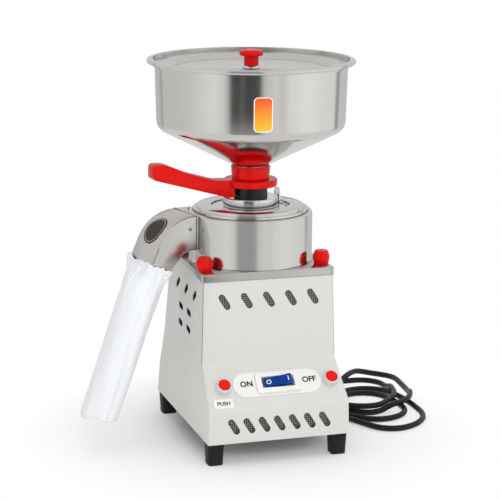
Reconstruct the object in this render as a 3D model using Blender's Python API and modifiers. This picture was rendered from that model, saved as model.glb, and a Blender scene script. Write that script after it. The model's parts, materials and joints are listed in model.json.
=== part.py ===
"""Stone flour mill for a kitchen worktop, in metres, +Z up, standing on z = 0.

Everything is laid out round the mill's upright axis, which is the local Z of the
empty called mill_frame. The empty is moved sideways at the end, so that the world
origin lies under the middle of the whole machine.
"""
import math

import bmesh
import bpy
from mathutils import Matrix, Vector

# Sheet-metal cabinet: heights from the worktop upwards
FOOT_HEIGHT = 0.032
SKIRT_HEIGHT = 0.050
CONTROL_RISE = 0.052
PANEL_RISE = 0.132
SHEET = 0.0012
FOLD_RADIUS = 0.0015
# Cabinet: full widths, and how far front and back stand from the mill's axis
BASE_WIDTH = 0.210
SKIRT_TOP_WIDTH = 0.208
CONTROL_TOP_WIDTH = 0.199
TOP_WIDTH = 0.192
SKIRT_FRONT = 0.1465
CONTROL_TOP_FRONT = 0.0945
TOP_FRONT = 0.0907
TOP_BACK = 0.0907
BASE_BACK = 0.138
# Top plate, a shallow folded tray that caps the cabinet
PLATE_LIP = 0.0115
PLATE_SHEET = 0.0012
PAN_WALL = 0.010
# Gap between pieces that touch on the real machine
SEAT = 0.0003
OVERRUN = 0.004
# Feet
FOOT_TOP_SIDE = 0.0245
FOOT_BOTTOM_SIDE = 0.0215
FOOT_ROUND = 0.0040
FOOT_SIDE_INSET = 0.0008
FOOT_FRONT_INSET = 0.0040
# Ventilation slots
SLOT_WIDTH = 0.0096
SLOT_RUN = 0.0165
SLOT_LEAN = math.radians(32.0)
FRONT_SLOT_COUNT = 5
FRONT_SLOT_PITCH = 0.0330
FRONT_SLOT_DROP = 0.0415
SKIRT_SLOT_COUNT = 7
SKIRT_SLOT_PITCH = 0.0225
SIDE_SLOT_COUNT = 3
SIDE_SLOT_PITCH = 0.0445
SIDE_SLOT_RUN = 0.0145
SIDE_SLOT_LEAN = math.radians(50.0)
SIDE_SHORT_RUN = 0.0140
SIDE_SHORT_LEAN = math.radians(97.0)
SIDE_SHORT_COUNT = 2
SIDE_SHORT_PITCH = 0.0430
SIDE_SHORT_OFFSET = 0.0045
SIDE_SHORT_DROP = 0.0730
SIDE_SHORT_ROW_PITCH = 0.0250
SCREEN_SHEET = 0.0006
SCREEN_BORDER = 0.0060
# Four studs hold the motor under the top plate; a red cap covers each
STUD_X = 0.0875
STUD_Y = 0.0650
STUD_RADIUS = 0.0040
STUD_HEAD_RADIUS = 0.0065
STUD_HEAD_HEIGHT = 0.0053
STUD_STAND_OUT = 0.0090
CAP_FOOT_RADIUS = 0.0106
CAP_BELLY_RADIUS = 0.0121
CAP_CROWN_RADIUS = 0.0090
CAP_HEIGHT = 0.0190
CAP_DIMPLE = 0.0012
CAP_WALL = 0.0060
# Motor
MOUNT_PLATE_THICKNESS = 0.0030
MOUNT_PLATE_MARGIN = 0.0035
MOTOR_RADIUS = 0.0640
MOTOR_WALL = 0.0040
CASING_LENGTH = 0.1371
SHIELD_THICKNESS = 0.0130
CORE_LENGTH = 0.0900
AIR_GAP = 0.0005
ROTOR_RADIUS = 0.0330
BEARING_RADIUS = 0.0175
BEARING_WIDTH = 0.0100
SHAFT_RADIUS = 0.0085
SHAFT_LEFT_BELOW = 0.0280
FAN_RADIUS = 0.0550
FAN_HUB_RADIUS = 0.0180
FAN_DEPTH = 0.0160
FAN_BLADE = 0.0030
FAN_BLADE_COUNT = 10
CAPACITOR_RADIUS = 0.0225
CAPACITOR_LENGTH = 0.0700
CAPACITOR_X = -0.060
CAPACITOR_Y = 0.085
CUP_WALL = 0.0016
CUP_HEIGHT = 0.0160
TERMINAL_SIZE = (0.050, 0.020, 0.016)
TERMINAL_X = 0.055
TERMINAL_Y = 0.100
# Grinding chamber
DRUM_RADIUS = 0.0905
DRUM_HEIGHT = 0.0712
DRUM_WALL = 0.0020
DRUM_FLOOR = 0.0030
DRUM_MOUTH_RADIUS = 0.0838
DRUM_BEAD = 0.0012
DRUM_BEAD_HEIGHT = 0.0040
DRUM_SHOULDER = 0.0030
SEAL_RADIUS = 0.0182
SEAL_STAND_OUT = 0.0012
LID_RADIUS = 0.0787
LID_STEP_RADIUS = 0.0840
LID_STEP_HEIGHT = 0.0034
LID_HEIGHT = 0.0079
LID_EDGE = 0.0022
LID_RECESS_RADIUS = 0.0575
LID_RECESS_DEPTH = 0.0025
LID_SPIGOT_WALL = 0.0030
LID_SPIGOT_HEIGHT = 0.0040
# Stones, seen from the drum floor upwards
CARRIER_CLEARANCE = 0.0025
CARRIER_THICKNESS = 0.0070
CARRIER_RADIUS = 0.0735
SWEEPER_RADIUS = 0.0862
SWEEPER_WIDTH = 0.0120
SWEEPER_COUNT = 4
STONE_RADIUS = 0.0720
STONE_EYE = 0.0135
RUNNER_THICKNESS = 0.0200
GRINDING_GAP = 0.0008
STATOR_THICKNESS = 0.0190
FURROW_COUNT = 8
FURROW_WIDTH = 0.0050
FURROW_DEPTH = 0.0015
HOLDER_THICKNESS = 0.0040
HOLDER_RADIUS = 0.0700
HOLDER_NECK_LENGTH = 0.0240
FEED_BORE = 0.0130
THREAD_FIT = 0.0003
# Threaded sleeve, its collar ring on the lid, and the lever that turns it
SLEEVE_RADIUS = 0.0248
SLEEVE_BORE = 0.0165
SLEEVE_FLANGE_RADIUS = 0.0320
SLEEVE_FLANGE = 0.0040
COLLAR_RING_RADIUS = 0.0403
COLLAR_RING_HEIGHT = 0.0140
COLLAR_RING_EDGE = 0.0010
LEVER_STAND_OFF = 0.0160
LEVER_RING_RADIUS = 0.0390
LEVER_RING_HEIGHT = 0.0100
LEVER_EDGE = 0.0012
ARM_WIDTH = 0.0240
ARM_TURN = math.radians(5.0)
ARM_REACH = 0.1530
ARM_RISE = 0.0290
ARM_RELIEF_RADIUS = 0.0320
ARM_BOSS_DEPTH = 0.0145
ARM_TIP_DEPTH = 0.0210
ARM_TIP_ROUND = 0.0045
ARM_EDGE = 0.0025
# Clamp tab on the lid, behind the collar ring
TAB_DISTANCE = 0.0510
TAB_ANGLE = math.radians(9.0)
TAB_WIDTH = 0.0180
TAB_HEIGHT = 0.0240
TAB_SHEET = 0.0020
TAB_FOOT = 0.0085
TAB_ROUND = 0.0060
# Red socket that carries the hopper
SOCKET_TOP_RADIUS = 0.0287
SOCKET_BOTTOM_RADIUS = 0.0272
SOCKET_HEIGHT = 0.0190
SOCKET_FLOOR = 0.0040
SOCKET_EDGE = 0.0008
# Hopper
HOPPER_SHEET = 0.0010
NECK_RADIUS = 0.0248
NECK_LENGTH = 0.0155
CONE_SLOPE = 2.0
BOWL_RADIUS = 0.1362
BOWL_MOUTH_RADIUS = 0.1388
BOWL_BEND = 0.0160
WALL_HEIGHT = 0.0892
LEDGE_WIDTH = 0.0036
LEDGE_STEP = 0.0092
RIM_RADIUS = 0.1500
RIM_ROLL = 0.0021
# Hopper lid and its knob
COVER_CLEARANCE = 0.0010
COVER_SHEET = 0.0009
COVER_BORDER = 0.0130
COVER_SLOPE_WIDTH = 0.0090
COVER_DROP = 0.0078
COVER_LIP = 0.0012
FERRULE_RADIUS = 0.0133
FERRULE_HEIGHT = 0.0042
KNOB_STEM_RADIUS = 0.0106
KNOB_STEM_HEIGHT = 0.0135
KNOB_RADIUS = 0.0172
KNOB_HEAD_HEIGHT = 0.0092
# Outlet spout: it leaves the drum tangentially, turned this far from -X to the front,
# and its middle plane passes behind the mill's axis
SPOUT_TURN = math.radians(12.5)
SPOUT_OFFSET = 0.0265
SPOUT_SHEET = 0.0012
NECK_END = 0.0939
NECK_DEPTH = 0.0502
NECK_HALF_WIDTH = 0.0355
NECK_ROUND = 0.0025
OUTER_LEAD = 0.0010
OUTER_BEND = 0.0640
OUTER_TURN = math.radians(65.0)
OUTER_TAIL = 0.0355
INNER_LEAD = 0.0055
INNER_BEND = 0.0220
INNER_TURN = math.radians(49.0)
INNER_TAIL = 0.0335
MOUTH_HALF_WIDTH = 0.0340
SPOUT_SECTIONS = 10
# Cloth sleeve hung on the spout's mouth: a leaning, slightly bowed tube
SLEEVE_CLOTH = 0.0015
SLEEVE_LAP = 0.0090
SLEEVE_HALF_WIDTH = 0.0333
SLEEVE_HALF_DEPTH = 0.0265
SLEEVE_REACH = 0.0843
SLEEVE_DROP = 0.2168
SLEEVE_BOW = 0.0050
SLEEVE_HEM_TURN = math.radians(10.0)
SLEEVE_HEM_SHARE = 0.30
SLEEVE_SWELL_SHARE = 0.30
SLEEVE_SECTIONS = 11
# Controls on the sloped panel, measured from its middle, up the slope and across
CONTROL_OFFSET = 0.0040
LABEL_GAP = 0.0030
LABEL_HEIGHT = 0.0390
LABEL_SHEET = 0.0008
BEZEL_WIDTH = 0.0640
BEZEL_HEIGHT = 0.0330
BEZEL_THICKNESS = 0.0050
BEZEL_ROUND = 0.0040
BEZEL_EDGE = 0.0010
WINDOW_WIDTH = 0.0480
WINDOW_HEIGHT = 0.0177
HOUSING_WALL = 0.0014
HOUSING_DEPTH = 0.0200
HOUSING_FLOOR = 0.0020
ROCKER_LENGTH = 0.0400
ROCKER_SIDE_GAP = 0.0020
ROCKER_TILT = math.radians(16.0)
ROCKER_VEE = math.radians(5.0)
ROCKER_CROWN = 0.0030
ROCKER_DEPTH = 0.0075
ROCKER_EDGE = 0.0008
ROCKER_PIN_RADIUS = 0.0015
ROCKER_PIN_GAP = 0.0006
ROCKER_PIVOT_DROP = 0.0010
BUTTON_INSET = 0.02175
BUTTON_DROP = -0.0005
BUSH_RADIUS = 0.0113
BUSH_HEIGHT = 0.0090
BUSH_EDGE = 0.0014
BUSH_THREAD_RADIUS = 0.0098
BUSH_DEPTH = 0.0140
BUSH_FLOOR = 0.0040
BUTTON_RADIUS = 0.0086
BUTTON_FIT = 0.0004
BUTTON_PROUD = 0.0012
BUTTON_LENGTH = 0.0135
BUTTON_DOME = 0.0010
# Cable gland on the back panel
GLAND_X = 0.055
GLAND_HEIGHT = 0.060
GLAND_FLANGE_RADIUS = 0.0120
GLAND_FLANGE = 0.0040
GLAND_NECK_RADIUS = 0.0088
GLAND_TIP_RADIUS = 0.0068
GLAND_LENGTH = 0.0340
GLAND_INSIDE = 0.0080
GLAND_THREAD_RADIUS = 0.0080
GLAND_GAP = 0.0008
GLAND_LEAD = 0.0090
# Mains cord and its plug
CORD_DIAMETER = 0.0090
CORD_POINTS = 80
CORD_STRAIGHT_SHARE = 5
PLUG_LENGTH = 0.0420
PLUG_BACK_RADIUS = 0.0085
PLUG_FACE_RADIUS = 0.0165
PLUG_EDGE = 0.0030
PIN_RADIUS = 0.0024
EARTH_PIN_RADIUS = 0.0034
PIN_LENGTH = 0.0160
EARTH_PIN_LENGTH = 0.0200
PIN_CIRCLE = 0.0100
# Facets
STEPS_LARGE = 40
STEPS_MEDIUM = 32
STEPS_SMALL = 16
STEPS_TINY = 10
STEPS_FINE = 24
ARC_STEPS = 2
BEND_STEPS = 4
MERGE = 0.00001

# Heights and widths that follow from the sizes above
BASE_Z = FOOT_HEIGHT
SKIRT_TOP_Z = BASE_Z + SKIRT_HEIGHT
CONTROL_TOP_Z = SKIRT_TOP_Z + CONTROL_RISE
PLATE_TOP_Z = CONTROL_TOP_Z + PANEL_RISE
SHELL_TOP_Z = PLATE_TOP_Z - PLATE_SHEET - SEAT
LIP_Z = PLATE_TOP_Z - PLATE_LIP - SEAT
DRUM_Z = PLATE_TOP_Z + SEAT
DRUM_TOP_Z = DRUM_Z + DRUM_HEIGHT
DRUM_FLOOR_Z = DRUM_Z + DRUM_FLOOR
CARRIER_Z = DRUM_FLOOR_Z + CARRIER_CLEARANCE
RUNNER_Z = CARRIER_Z + CARRIER_THICKNESS + SEAT
STATOR_Z = RUNNER_Z + RUNNER_THICKNESS + GRINDING_GAP
HOLDER_Z = STATOR_Z + STATOR_THICKNESS + SEAT
LID_Z = DRUM_TOP_Z + SEAT
LID_TOP_Z = LID_Z + LID_HEIGHT
RECESS_Z = LID_TOP_Z - LID_RECESS_DEPTH
RING_Z = RECESS_Z + SEAT
RING_TOP_Z = RING_Z + COLLAR_RING_HEIGHT
LEVER_Z = RING_TOP_Z + LEVER_STAND_OFF
LEVER_TOP_Z = LEVER_Z + LEVER_RING_HEIGHT
SOCKET_Z = LEVER_TOP_Z + SEAT
NECK_Z = SOCKET_Z + SOCKET_FLOOR + SEAT
CONE_Z = NECK_Z + NECK_LENGTH
BEND_Z = CONE_Z + (BOWL_RADIUS - NECK_RADIUS) / CONE_SLOPE
LEDGE_Z = BEND_Z + WALL_HEIGHT
RIM_Z = LEDGE_Z + LEDGE_STEP
COVER_Z = LEDGE_Z + HOPPER_SHEET + SEAT + COVER_LIP
BUTTON_SPREAD = (SKIRT_TOP_WIDTH + CONTROL_TOP_WIDTH) / 4 - BUTTON_INSET
LABEL_WIDTH = 2 * (BUTTON_SPREAD - BUSH_RADIUS - LABEL_GAP)
MOUNT_PLATE_Z = PLATE_TOP_Z - PLATE_SHEET - SEAT - MOUNT_PLATE_THICKNESS
TOP_SHIELD_Z = MOUNT_PLATE_Z - SEAT - SHIELD_THICKNESS
CASING_Z = TOP_SHIELD_Z - SEAT - CASING_LENGTH
BOTTOM_SHIELD_Z = CASING_Z - SEAT - SHIELD_THICKNESS
CORE_Z = CASING_Z + (CASING_LENGTH - CORE_LENGTH) / 2
TOP_BEARING_Z = TOP_SHIELD_Z + (SHIELD_THICKNESS - BEARING_WIDTH) / 2
BOTTOM_BEARING_Z = BOTTOM_SHIELD_Z + (SHIELD_THICKNESS - BEARING_WIDTH) / 2
FAN_Z = BOTTOM_SHIELD_Z - FAN_DEPTH - OVERRUN
SHAFT_Z = BOTTOM_SHIELD_Z - SHAFT_LEFT_BELOW
SHAFT_TOP_Z = RUNNER_Z + RUNNER_THICKNESS / 2

# Looks: colour, roughness, metallic
STAINLESS = ((0.72, 0.71, 0.69), 0.28, 1.0)
POLISHED = ((0.80, 0.80, 0.80), 0.12, 1.0)
PAINTED = ((0.78, 0.77, 0.75), 0.40, 0.6)
DARK_STEEL = ((0.30, 0.30, 0.31), 0.45, 1.0)
RED = ((0.80, 0.02, 0.02), 0.25, 0.0)
BLACK = ((0.02, 0.02, 0.02), 0.40, 0.0)
RUBBER = ((0.015, 0.015, 0.015), 0.70, 0.0)
WHITE = ((0.88, 0.88, 0.86), 0.35, 0.0)
BLUE = ((0.01, 0.10, 0.55), 0.25, 0.0)
CLOTH = ((0.90, 0.90, 0.92), 0.90, 0.0)
STONE = ((0.66, 0.62, 0.55), 0.90, 0.0)
CAST = ((0.50, 0.51, 0.52), 0.50, 1.0)

# The cord's route from the gland's mouth: down behind the cabinet, two loops on the
# worktop, two more across them and back to the plug; x and y from the mill's axis
CORD_ROUTE = [
    (0.0550, 0.2050, 0.0652), (0.0578, 0.2207, 0.0555), (0.0658, 0.2346, 0.0443),
    (0.0780, 0.2448, 0.0326), (0.0930, 0.2503, 0.0212), (0.1090, 0.2503, 0.0119),
    (0.1240, 0.2448, 0.0069), (0.1362, 0.2346, 0.0051), (0.1442, 0.2207, 0.0047),
    (0.1470, 0.2050, 0.0047), (0.1468, 0.1800, 0.0047), (0.1460, 0.1500, 0.0047),
    (0.1448, 0.1200, 0.0047), (0.1445, 0.0900, 0.0047), (0.1445, 0.0650, 0.0047),
    (0.1466, 0.0400, 0.0047), (0.1540, 0.0110, 0.0047), (0.1640, -0.0105, 0.0047),
    (0.1725, -0.0286, 0.0047), (0.1804, -0.0450, 0.0047), (0.1879, -0.0558, 0.0047),
    (0.1987, -0.0633, 0.0047), (0.2115, -0.0668, 0.0047), (0.2246, -0.0656, 0.0047),
    (0.2398, -0.0590, 0.0047), (0.2507, -0.0514, 0.0047), (0.2676, -0.0312, 0.0047),
    (0.2766, -0.0064, 0.0047), (0.2788, 0.0200, 0.0047), (0.2788, 0.0450, 0.0047),
    (0.2763, 0.0763, 0.0047), (0.2690, 0.1068, 0.0047), (0.2605, 0.1222, 0.0047),
    (0.2483, 0.1324, 0.0047), (0.2333, 0.1379, 0.0047), (0.2173, 0.1379, 0.0047),
    (0.2035, 0.1332, 0.0047), (0.1866, 0.1217, 0.0047), (0.1682, 0.1033, 0.0047),
    (0.1591, 0.0860, 0.0047), (0.1550, 0.0668, 0.0047), (0.1550, 0.0500, 0.0047),
    (0.1580, 0.0360, 0.0047), (0.1665, 0.0155, 0.0047), (0.1752, 0.0010, 0.0047),
    (0.1838, -0.0090, 0.0047), (0.1958, -0.0160, 0.0047), (0.2095, -0.0184, 0.0047),
    (0.2266, -0.0154, 0.0047), (0.2416, -0.0067, 0.0047), (0.2528, 0.0066, 0.0047),
    (0.2587, 0.0229, 0.0047), (0.2595, 0.0430, 0.0047), (0.2577, 0.0665, 0.0047),
    (0.2522, 0.0894, 0.0047), (0.2448, 0.1027, 0.0047), (0.2342, 0.1116, 0.0047),
    (0.2211, 0.1164, 0.0047), (0.2073, 0.1164, 0.0047), (0.1942, 0.1116, 0.0047),
    (0.1798, 0.0995, 0.0047), (0.1705, 0.0833, 0.0047), (0.1672, 0.0620, 0.0047),
    (0.1699, 0.0450, 0.0047), (0.1775, 0.0317, 0.0047), (0.1892, 0.0219, 0.0047),
    (0.2036, 0.0167, 0.0049), (0.2190, 0.0163, 0.0071), (0.2299, 0.0180, 0.0112),
    (0.2420, 0.0214, 0.0139), (0.2562, 0.0281, 0.0143), (0.2686, 0.0377, 0.0143),
    (0.2792, 0.0519, 0.0143), (0.2853, 0.0645, 0.0142), (0.2905, 0.0774, 0.0130),
    (0.2949, 0.0907, 0.0095), (0.2982, 0.1042, 0.0059), (0.3018, 0.1284, 0.0047),
    (0.3039, 0.1523, 0.0047), (0.3055, 0.1702, 0.0047), (0.3043, 0.1836, 0.0047),
    (0.2986, 0.1957, 0.0047), (0.2892, 0.2051, 0.0050), (0.2771, 0.2109, 0.0064),
    (0.2637, 0.2120, 0.0094), (0.2508, 0.2085, 0.0126), (0.2404, 0.2013, 0.0140),
    (0.2260, 0.1874, 0.0142), (0.2116, 0.1735, 0.0114), (0.2000, 0.1623, 0.0059),
    (0.1900, 0.1523, 0.0047), (0.1819, 0.1434, 0.0051), (0.1768, 0.1350, 0.0071),
    (0.1723, 0.1268, 0.0102), (0.1686, 0.1178, 0.0130), (0.1658, 0.1088, 0.0142),
    (0.1624, 0.0899, 0.0142), (0.1612, 0.0750, 0.0136), (0.1610, 0.0620, 0.0129),
    (0.1634, 0.0463, 0.0132), (0.1704, 0.0343, 0.0139), (0.1810, 0.0254, 0.0143),
    (0.1941, 0.0206, 0.0144), (0.2079, 0.0206, 0.0142), (0.2210, 0.0254, 0.0140),
    (0.2340, 0.0364, 0.0140), (0.2463, 0.0487, 0.0142), (0.2574, 0.0632, 0.0143),
    (0.2644, 0.0801, 0.0143), (0.2689, 0.0996, 0.0142), (0.2715, 0.1133, 0.0128),
    (0.2732, 0.1272, 0.0086), (0.2740, 0.1446, 0.0048), (0.2717, 0.1608, 0.0047),
    (0.2652, 0.1721, 0.0047), (0.2553, 0.1805, 0.0047), (0.2430, 0.1849, 0.0047),
    (0.2280, 0.1856, 0.0047), (0.2050, 0.1846, 0.0047), (0.1840, 0.1840, 0.0047),
    (0.1745, 0.1838, 0.0059), (0.1650, 0.1838, 0.0094), (0.1555, 0.1840, 0.0130),
    (0.1460, 0.1844, 0.0143), (0.1365, 0.1848, 0.0130), (0.1270, 0.1854, 0.0094),
    (0.1175, 0.1860, 0.0059), (0.1080, 0.1866, 0.0047), (0.0600, 0.1885, 0.0047),
    (0.0320, 0.1880, 0.0054), (0.0080, 0.1870, 0.0088), (-0.0120, 0.1860, 0.0132),
    (-0.0260, 0.1860, 0.0162),
]


def new_collection(name):
    """A collection linked to the scene."""
    collection = bpy.data.collections.new(name)
    bpy.context.scene.collection.children.link(collection)
    return collection


for old in list(bpy.data.objects):
    bpy.data.objects.remove(old)
PARTS = new_collection("stone_flour_mill")
CUTTERS = new_collection("cutters")


def empty(name, parent=None, location=(0, 0, 0), rotation=(0, 0, 0)):
    """A frame that pieces are parented to."""
    frame = bpy.data.objects.new(name, None)
    frame.location = location
    frame.rotation_euler = rotation
    frame.parent = parent
    PARTS.objects.link(frame)
    return frame


MILL = empty("mill_frame")


def finish(piece, look):
    """Gives a piece a material of its own."""
    colour, roughness, metallic = look
    surface = bpy.data.materials.new(piece.name)
    surface.use_nodes = True
    shader = surface.node_tree.nodes["Principled BSDF"]
    shader.inputs["Base Color"].default_value = (*colour, 1)
    shader.inputs["Roughness"].default_value = roughness
    shader.inputs["Metallic"].default_value = metallic
    piece.data.materials.clear()
    piece.data.materials.append(surface)


def add(name, mesh, look=None, parent=MILL, location=(0, 0, 0), rotation=(0, 0, 0)):
    """Links a mesh as a sub-part, or as a cutter where it has no look."""
    piece = bpy.data.objects.new(name, mesh)
    piece.location = location
    piece.rotation_euler = rotation
    piece.parent = parent
    if look is None:
        CUTTERS.objects.link(piece)
        piece.hide_render = True
        piece.display_type = "WIRE"
    else:
        PARTS.objects.link(piece)
        finish(piece, look)
    return piece


def smooth(piece, degrees=35):
    """Shades round surfaces smooth and keeps folds sharp."""
    piece.data.shade_smooth()
    piece.data.set_sharp_from_angle(angle=math.radians(degrees))
    return piece


def boolean(piece, tool, operation="DIFFERENCE"):
    """Cuts a piece with a tool, or joins the tool to it."""
    change = piece.modifiers.new(tool.name, "BOOLEAN")
    change.operation = operation
    change.solver = "EXACT"
    change.object = tool


def solidify(piece, thickness):
    """Gives an open surface its wall, on the side away from its normals."""
    wall = piece.modifiers.new("Wall", "SOLIDIFY")
    wall.thickness = thickness
    wall.offset = -1
    wall.use_even_offset = True


def bevel(piece, width, segments=2, degrees=40):
    """Rounds the edges sharper than an angle."""
    edge = piece.modifiers.new("Edge", "BEVEL")
    edge.width = width
    edge.segments = segments
    edge.limit_method = "ANGLE"
    edge.angle_limit = math.radians(degrees)


def rounded(points, closed=False, steps=ARC_STEPS):
    """A polyline whose corners with a third number become arcs of that radius."""
    result = []
    count = len(points)
    for index, point in enumerate(points):
        corner = Vector(point[:2])
        inner = closed or 0 < index < count - 1
        if len(point) < 3 or point[2] <= 0 or not inner:
            result.append(tuple(corner))
            continue
        before = (Vector(points[index - 1][:2]) - corner).normalized()
        after = (Vector(points[(index + 1) % count][:2]) - corner).normalized()
        half = before.angle(after) / 2
        centre = corner + (before + after).normalized() * (point[2] / math.sin(half))
        start = corner + before * (point[2] / math.tan(half)) - centre
        sweep = start.angle_signed(corner + after * (point[2] / math.tan(half)) - centre)
        for step in range(steps + 1):
            turn = Matrix.Rotation(-sweep * step / steps, 2)
            result.append(tuple(centre + turn @ start))
    return result


def turned(name, profile, look=None, steps=STEPS_MEDIUM, closed=True, wall=0, **place):
    """A turned piece: a profile of (radius, height) that runs down its outer side."""
    mesh = bpy.data.meshes.new(name)
    points = [(radius, 0, height) for radius, height in profile]
    edges = [(index, index + 1) for index in range(len(points) - 1)]
    if closed:
        edges.append((len(points) - 1, 0))
    mesh.from_pydata(points, edges, [])
    piece = add(name, mesh, look, **place)
    turn = piece.modifiers.new("Turn", "SCREW")
    turn.axis = "Z"
    turn.angle = math.tau
    turn.steps = steps
    turn.render_steps = steps
    turn.use_merge_vertices = True
    turn.merge_threshold = MERGE
    turn.use_smooth_shade = True
    if wall:
        solidify(piece, wall)
    return piece


def ring(name, inner, outer, low, high, look=None, edge=0, **place):
    """A plain turned ring, or a disc where the inner radius is zero, with broken outer edges."""
    profile = [(inner, high), (outer, high, edge), (outer, low, edge), (inner, low)]
    return turned(name, rounded(profile, inner > 0, 1), look, closed=inner > 0, **place)


def rod(name, radius, low, high, look=None, **place):
    """A plain cylinder on its own Z axis."""
    return ring(name, 0, radius, low, high, look, **place)


def flat(name, outlines, thickness, look=None, **place):
    """A flat piece: closed outlines in its XY plane, from z = 0 up to its thickness."""
    curve = bpy.data.curves.new(name, "CURVE")
    curve.dimensions = "2D"
    curve.fill_mode = "BOTH"
    curve.extrude = thickness / 2
    for outline in outlines:
        spline = curve.splines.new("POLY")
        spline.points.add(len(outline) - 1)
        for point, (x, y) in zip(spline.points, outline):
            point.co = (x, y, 0, 1)
        spline.use_cyclic_u = True
    drawn = bpy.data.objects.new(name + "_curve", curve)
    CUTTERS.objects.link(drawn)
    bpy.context.view_layer.update()
    mesh = bpy.data.meshes.new_from_object(drawn.evaluated_get(bpy.context.evaluated_depsgraph_get()))
    bpy.data.objects.remove(drawn)
    shape = bmesh.new()
    shape.from_mesh(mesh)
    bmesh.ops.translate(shape, verts=shape.verts, vec=(0, 0, thickness / 2))
    bmesh.ops.remove_doubles(shape, verts=shape.verts, dist=MERGE)
    bmesh.ops.recalc_face_normals(shape, faces=shape.faces)
    shape.to_mesh(mesh)
    shape.free()
    mesh.name = name
    return add(name, mesh, look, **place)


def stadium(run, width, lean=0, centre=(0, 0), steps=2 * ARC_STEPS):
    """An upright slot outline, its top leaning to -X by an angle."""
    points = []
    for end in (0, 1):
        for step in range(steps + 1):
            angle = math.pi * (end + step / steps)
            x = math.cos(angle) * width / 2
            y = math.sin(angle) * width / 2 + run / 2 * (1 - 2 * end)
            turn = Matrix.Rotation(lean, 2) @ Vector((x, y))
            points.append((centre[0] + turn.x, centre[1] + turn.y))
    return points


def rectangle(width, height, corner=0, steps=ARC_STEPS):
    """A rectangle outline with rounded corners."""
    x, y = width / 2, height / 2
    corners = [(x, -y), (x, y), (-x, y), (-x, -y)]
    return rounded([(a, b, corner) for a, b in corners], closed=True, steps=steps)


def circle(radius, steps=STEPS_MEDIUM, centre=(0, 0)):
    """A circle outline."""
    angles = [math.tau * step / steps for step in range(steps)]
    return [(centre[0] + radius * math.cos(a), centre[1] + radius * math.sin(a)) for a in angles]


def block(name, low, high, look=None, **place):
    """A box between two corners."""
    shape = bmesh.new()
    bmesh.ops.create_cube(shape, size=1)
    for vert in shape.verts:
        vert.co = [b if c > 0 else a for a, b, c in zip(low, high, vert.co)]
    mesh = bpy.data.meshes.new(name)
    shape.to_mesh(mesh)
    shape.free()
    return add(name, mesh, look, **place)


def loft(name, sections, look=None, capped=False, **place):
    """A skin through sections of equally many points, open at both ends or capped."""
    shape = bmesh.new()
    rows = [[shape.verts.new(point) for point in section] for section in sections]
    count = len(rows[0])
    for lower, upper in zip(rows, rows[1:]):
        for index in range(count):
            after = (index + 1) % count
            shape.faces.new((lower[index], lower[after], upper[after], upper[index]))
    if capped:
        shape.faces.new(list(reversed(rows[0])))
        shape.faces.new(rows[-1])
    mesh = bpy.data.meshes.new(name)
    shape.to_mesh(mesh)
    shape.free()
    return add(name, mesh, look, **place)


def cabinet_at(z):
    """Half width, front and back of the cabinet's outside at a height."""
    levels = [
        (BASE_Z, BASE_WIDTH / 2, SKIRT_FRONT),
        (SKIRT_TOP_Z, SKIRT_TOP_WIDTH / 2, SKIRT_FRONT),
        (CONTROL_TOP_Z, CONTROL_TOP_WIDTH / 2, CONTROL_TOP_FRONT),
        (SHELL_TOP_Z, TOP_WIDTH / 2, TOP_FRONT),
    ]
    low, high = levels[0], levels[-1]
    for below, above in zip(levels, levels[1:]):
        if below[0] <= z <= above[0]:
            low, high = below, above
    share = (z - low[0]) / (high[0] - low[0])
    half_width = low[1] + (high[1] - low[1]) * share
    front = low[2] + (high[2] - low[2]) * share
    rise = min(1, (z - BASE_Z) / (LIP_Z - BASE_Z))
    back = BASE_BACK + (TOP_BACK - BASE_BACK) * rise
    return half_width, front, back


def spread(count, pitch, centre=0):
    """Places of a row of equal pieces about its middle."""
    return [centre + pitch * (index - (count - 1) / 2) for index in range(count)]


FACING_FRONT = (math.radians(90), 0, 0)
FACING_SIDE = (math.radians(90), 0, math.radians(90))
CONTROL_TILT = math.atan2(SKIRT_FRONT - CONTROL_TOP_FRONT, CONTROL_RISE)
CONTROLS = empty(
    "control_panel_frame", MILL,
    (CONTROL_OFFSET, -(SKIRT_FRONT + CONTROL_TOP_FRONT) / 2, (SKIRT_TOP_Z + CONTROL_TOP_Z) / 2),
    (math.radians(90) - CONTROL_TILT, 0, 0))
FRONT_SLOT_Z = PLATE_TOP_Z - FRONT_SLOT_DROP


def cabinet_shell():
    """The folded skin: skirt, sloped control panel, front, sides and back."""
    shape = bmesh.new()
    bmesh.ops.create_cube(shape, size=1)
    ends = [face for face in shape.faces if abs(face.normal.z) > 0.5]
    bmesh.ops.delete(shape, geom=ends, context="FACES_ONLY")
    for vert in shape.verts:
        vert.co.z = SHELL_TOP_Z if vert.co.z > 0 else BASE_Z + 2 * SEAT
    for level in (SKIRT_TOP_Z, CONTROL_TOP_Z, LIP_Z):
        everything = shape.verts[:] + shape.edges[:] + shape.faces[:]
        bmesh.ops.bisect_plane(shape, geom=everything, plane_co=(0, 0, level), plane_no=(0, 0, 1))
    for vert in shape.verts:
        half_width, front, back = cabinet_at(vert.co.z)
        vert.co.x = math.copysign(half_width, vert.co.x)
        vert.co.y = back if vert.co.y > 0 else -front
    mesh = bpy.data.meshes.new("cabinet_shell")
    shape.to_mesh(mesh)
    shape.free()
    shell = add("cabinet_shell", mesh, PAINTED)
    bevel(shell, FOLD_RADIUS)
    solidify(shell, SHEET)
    for tool in shell_cutters():
        boolean(shell, tool)
    return shell


def slots(name, count, pitch, run, lean, depth, width=SLOT_WIDTH, offset=0):
    """A row of slanted slots as one cutter per slot."""
    places = spread(count, pitch, offset)
    return [(f"{name}_{i + 1}", [stadium(run, width, lean, (x, 0))], depth) for i, x in enumerate(places)]


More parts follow.
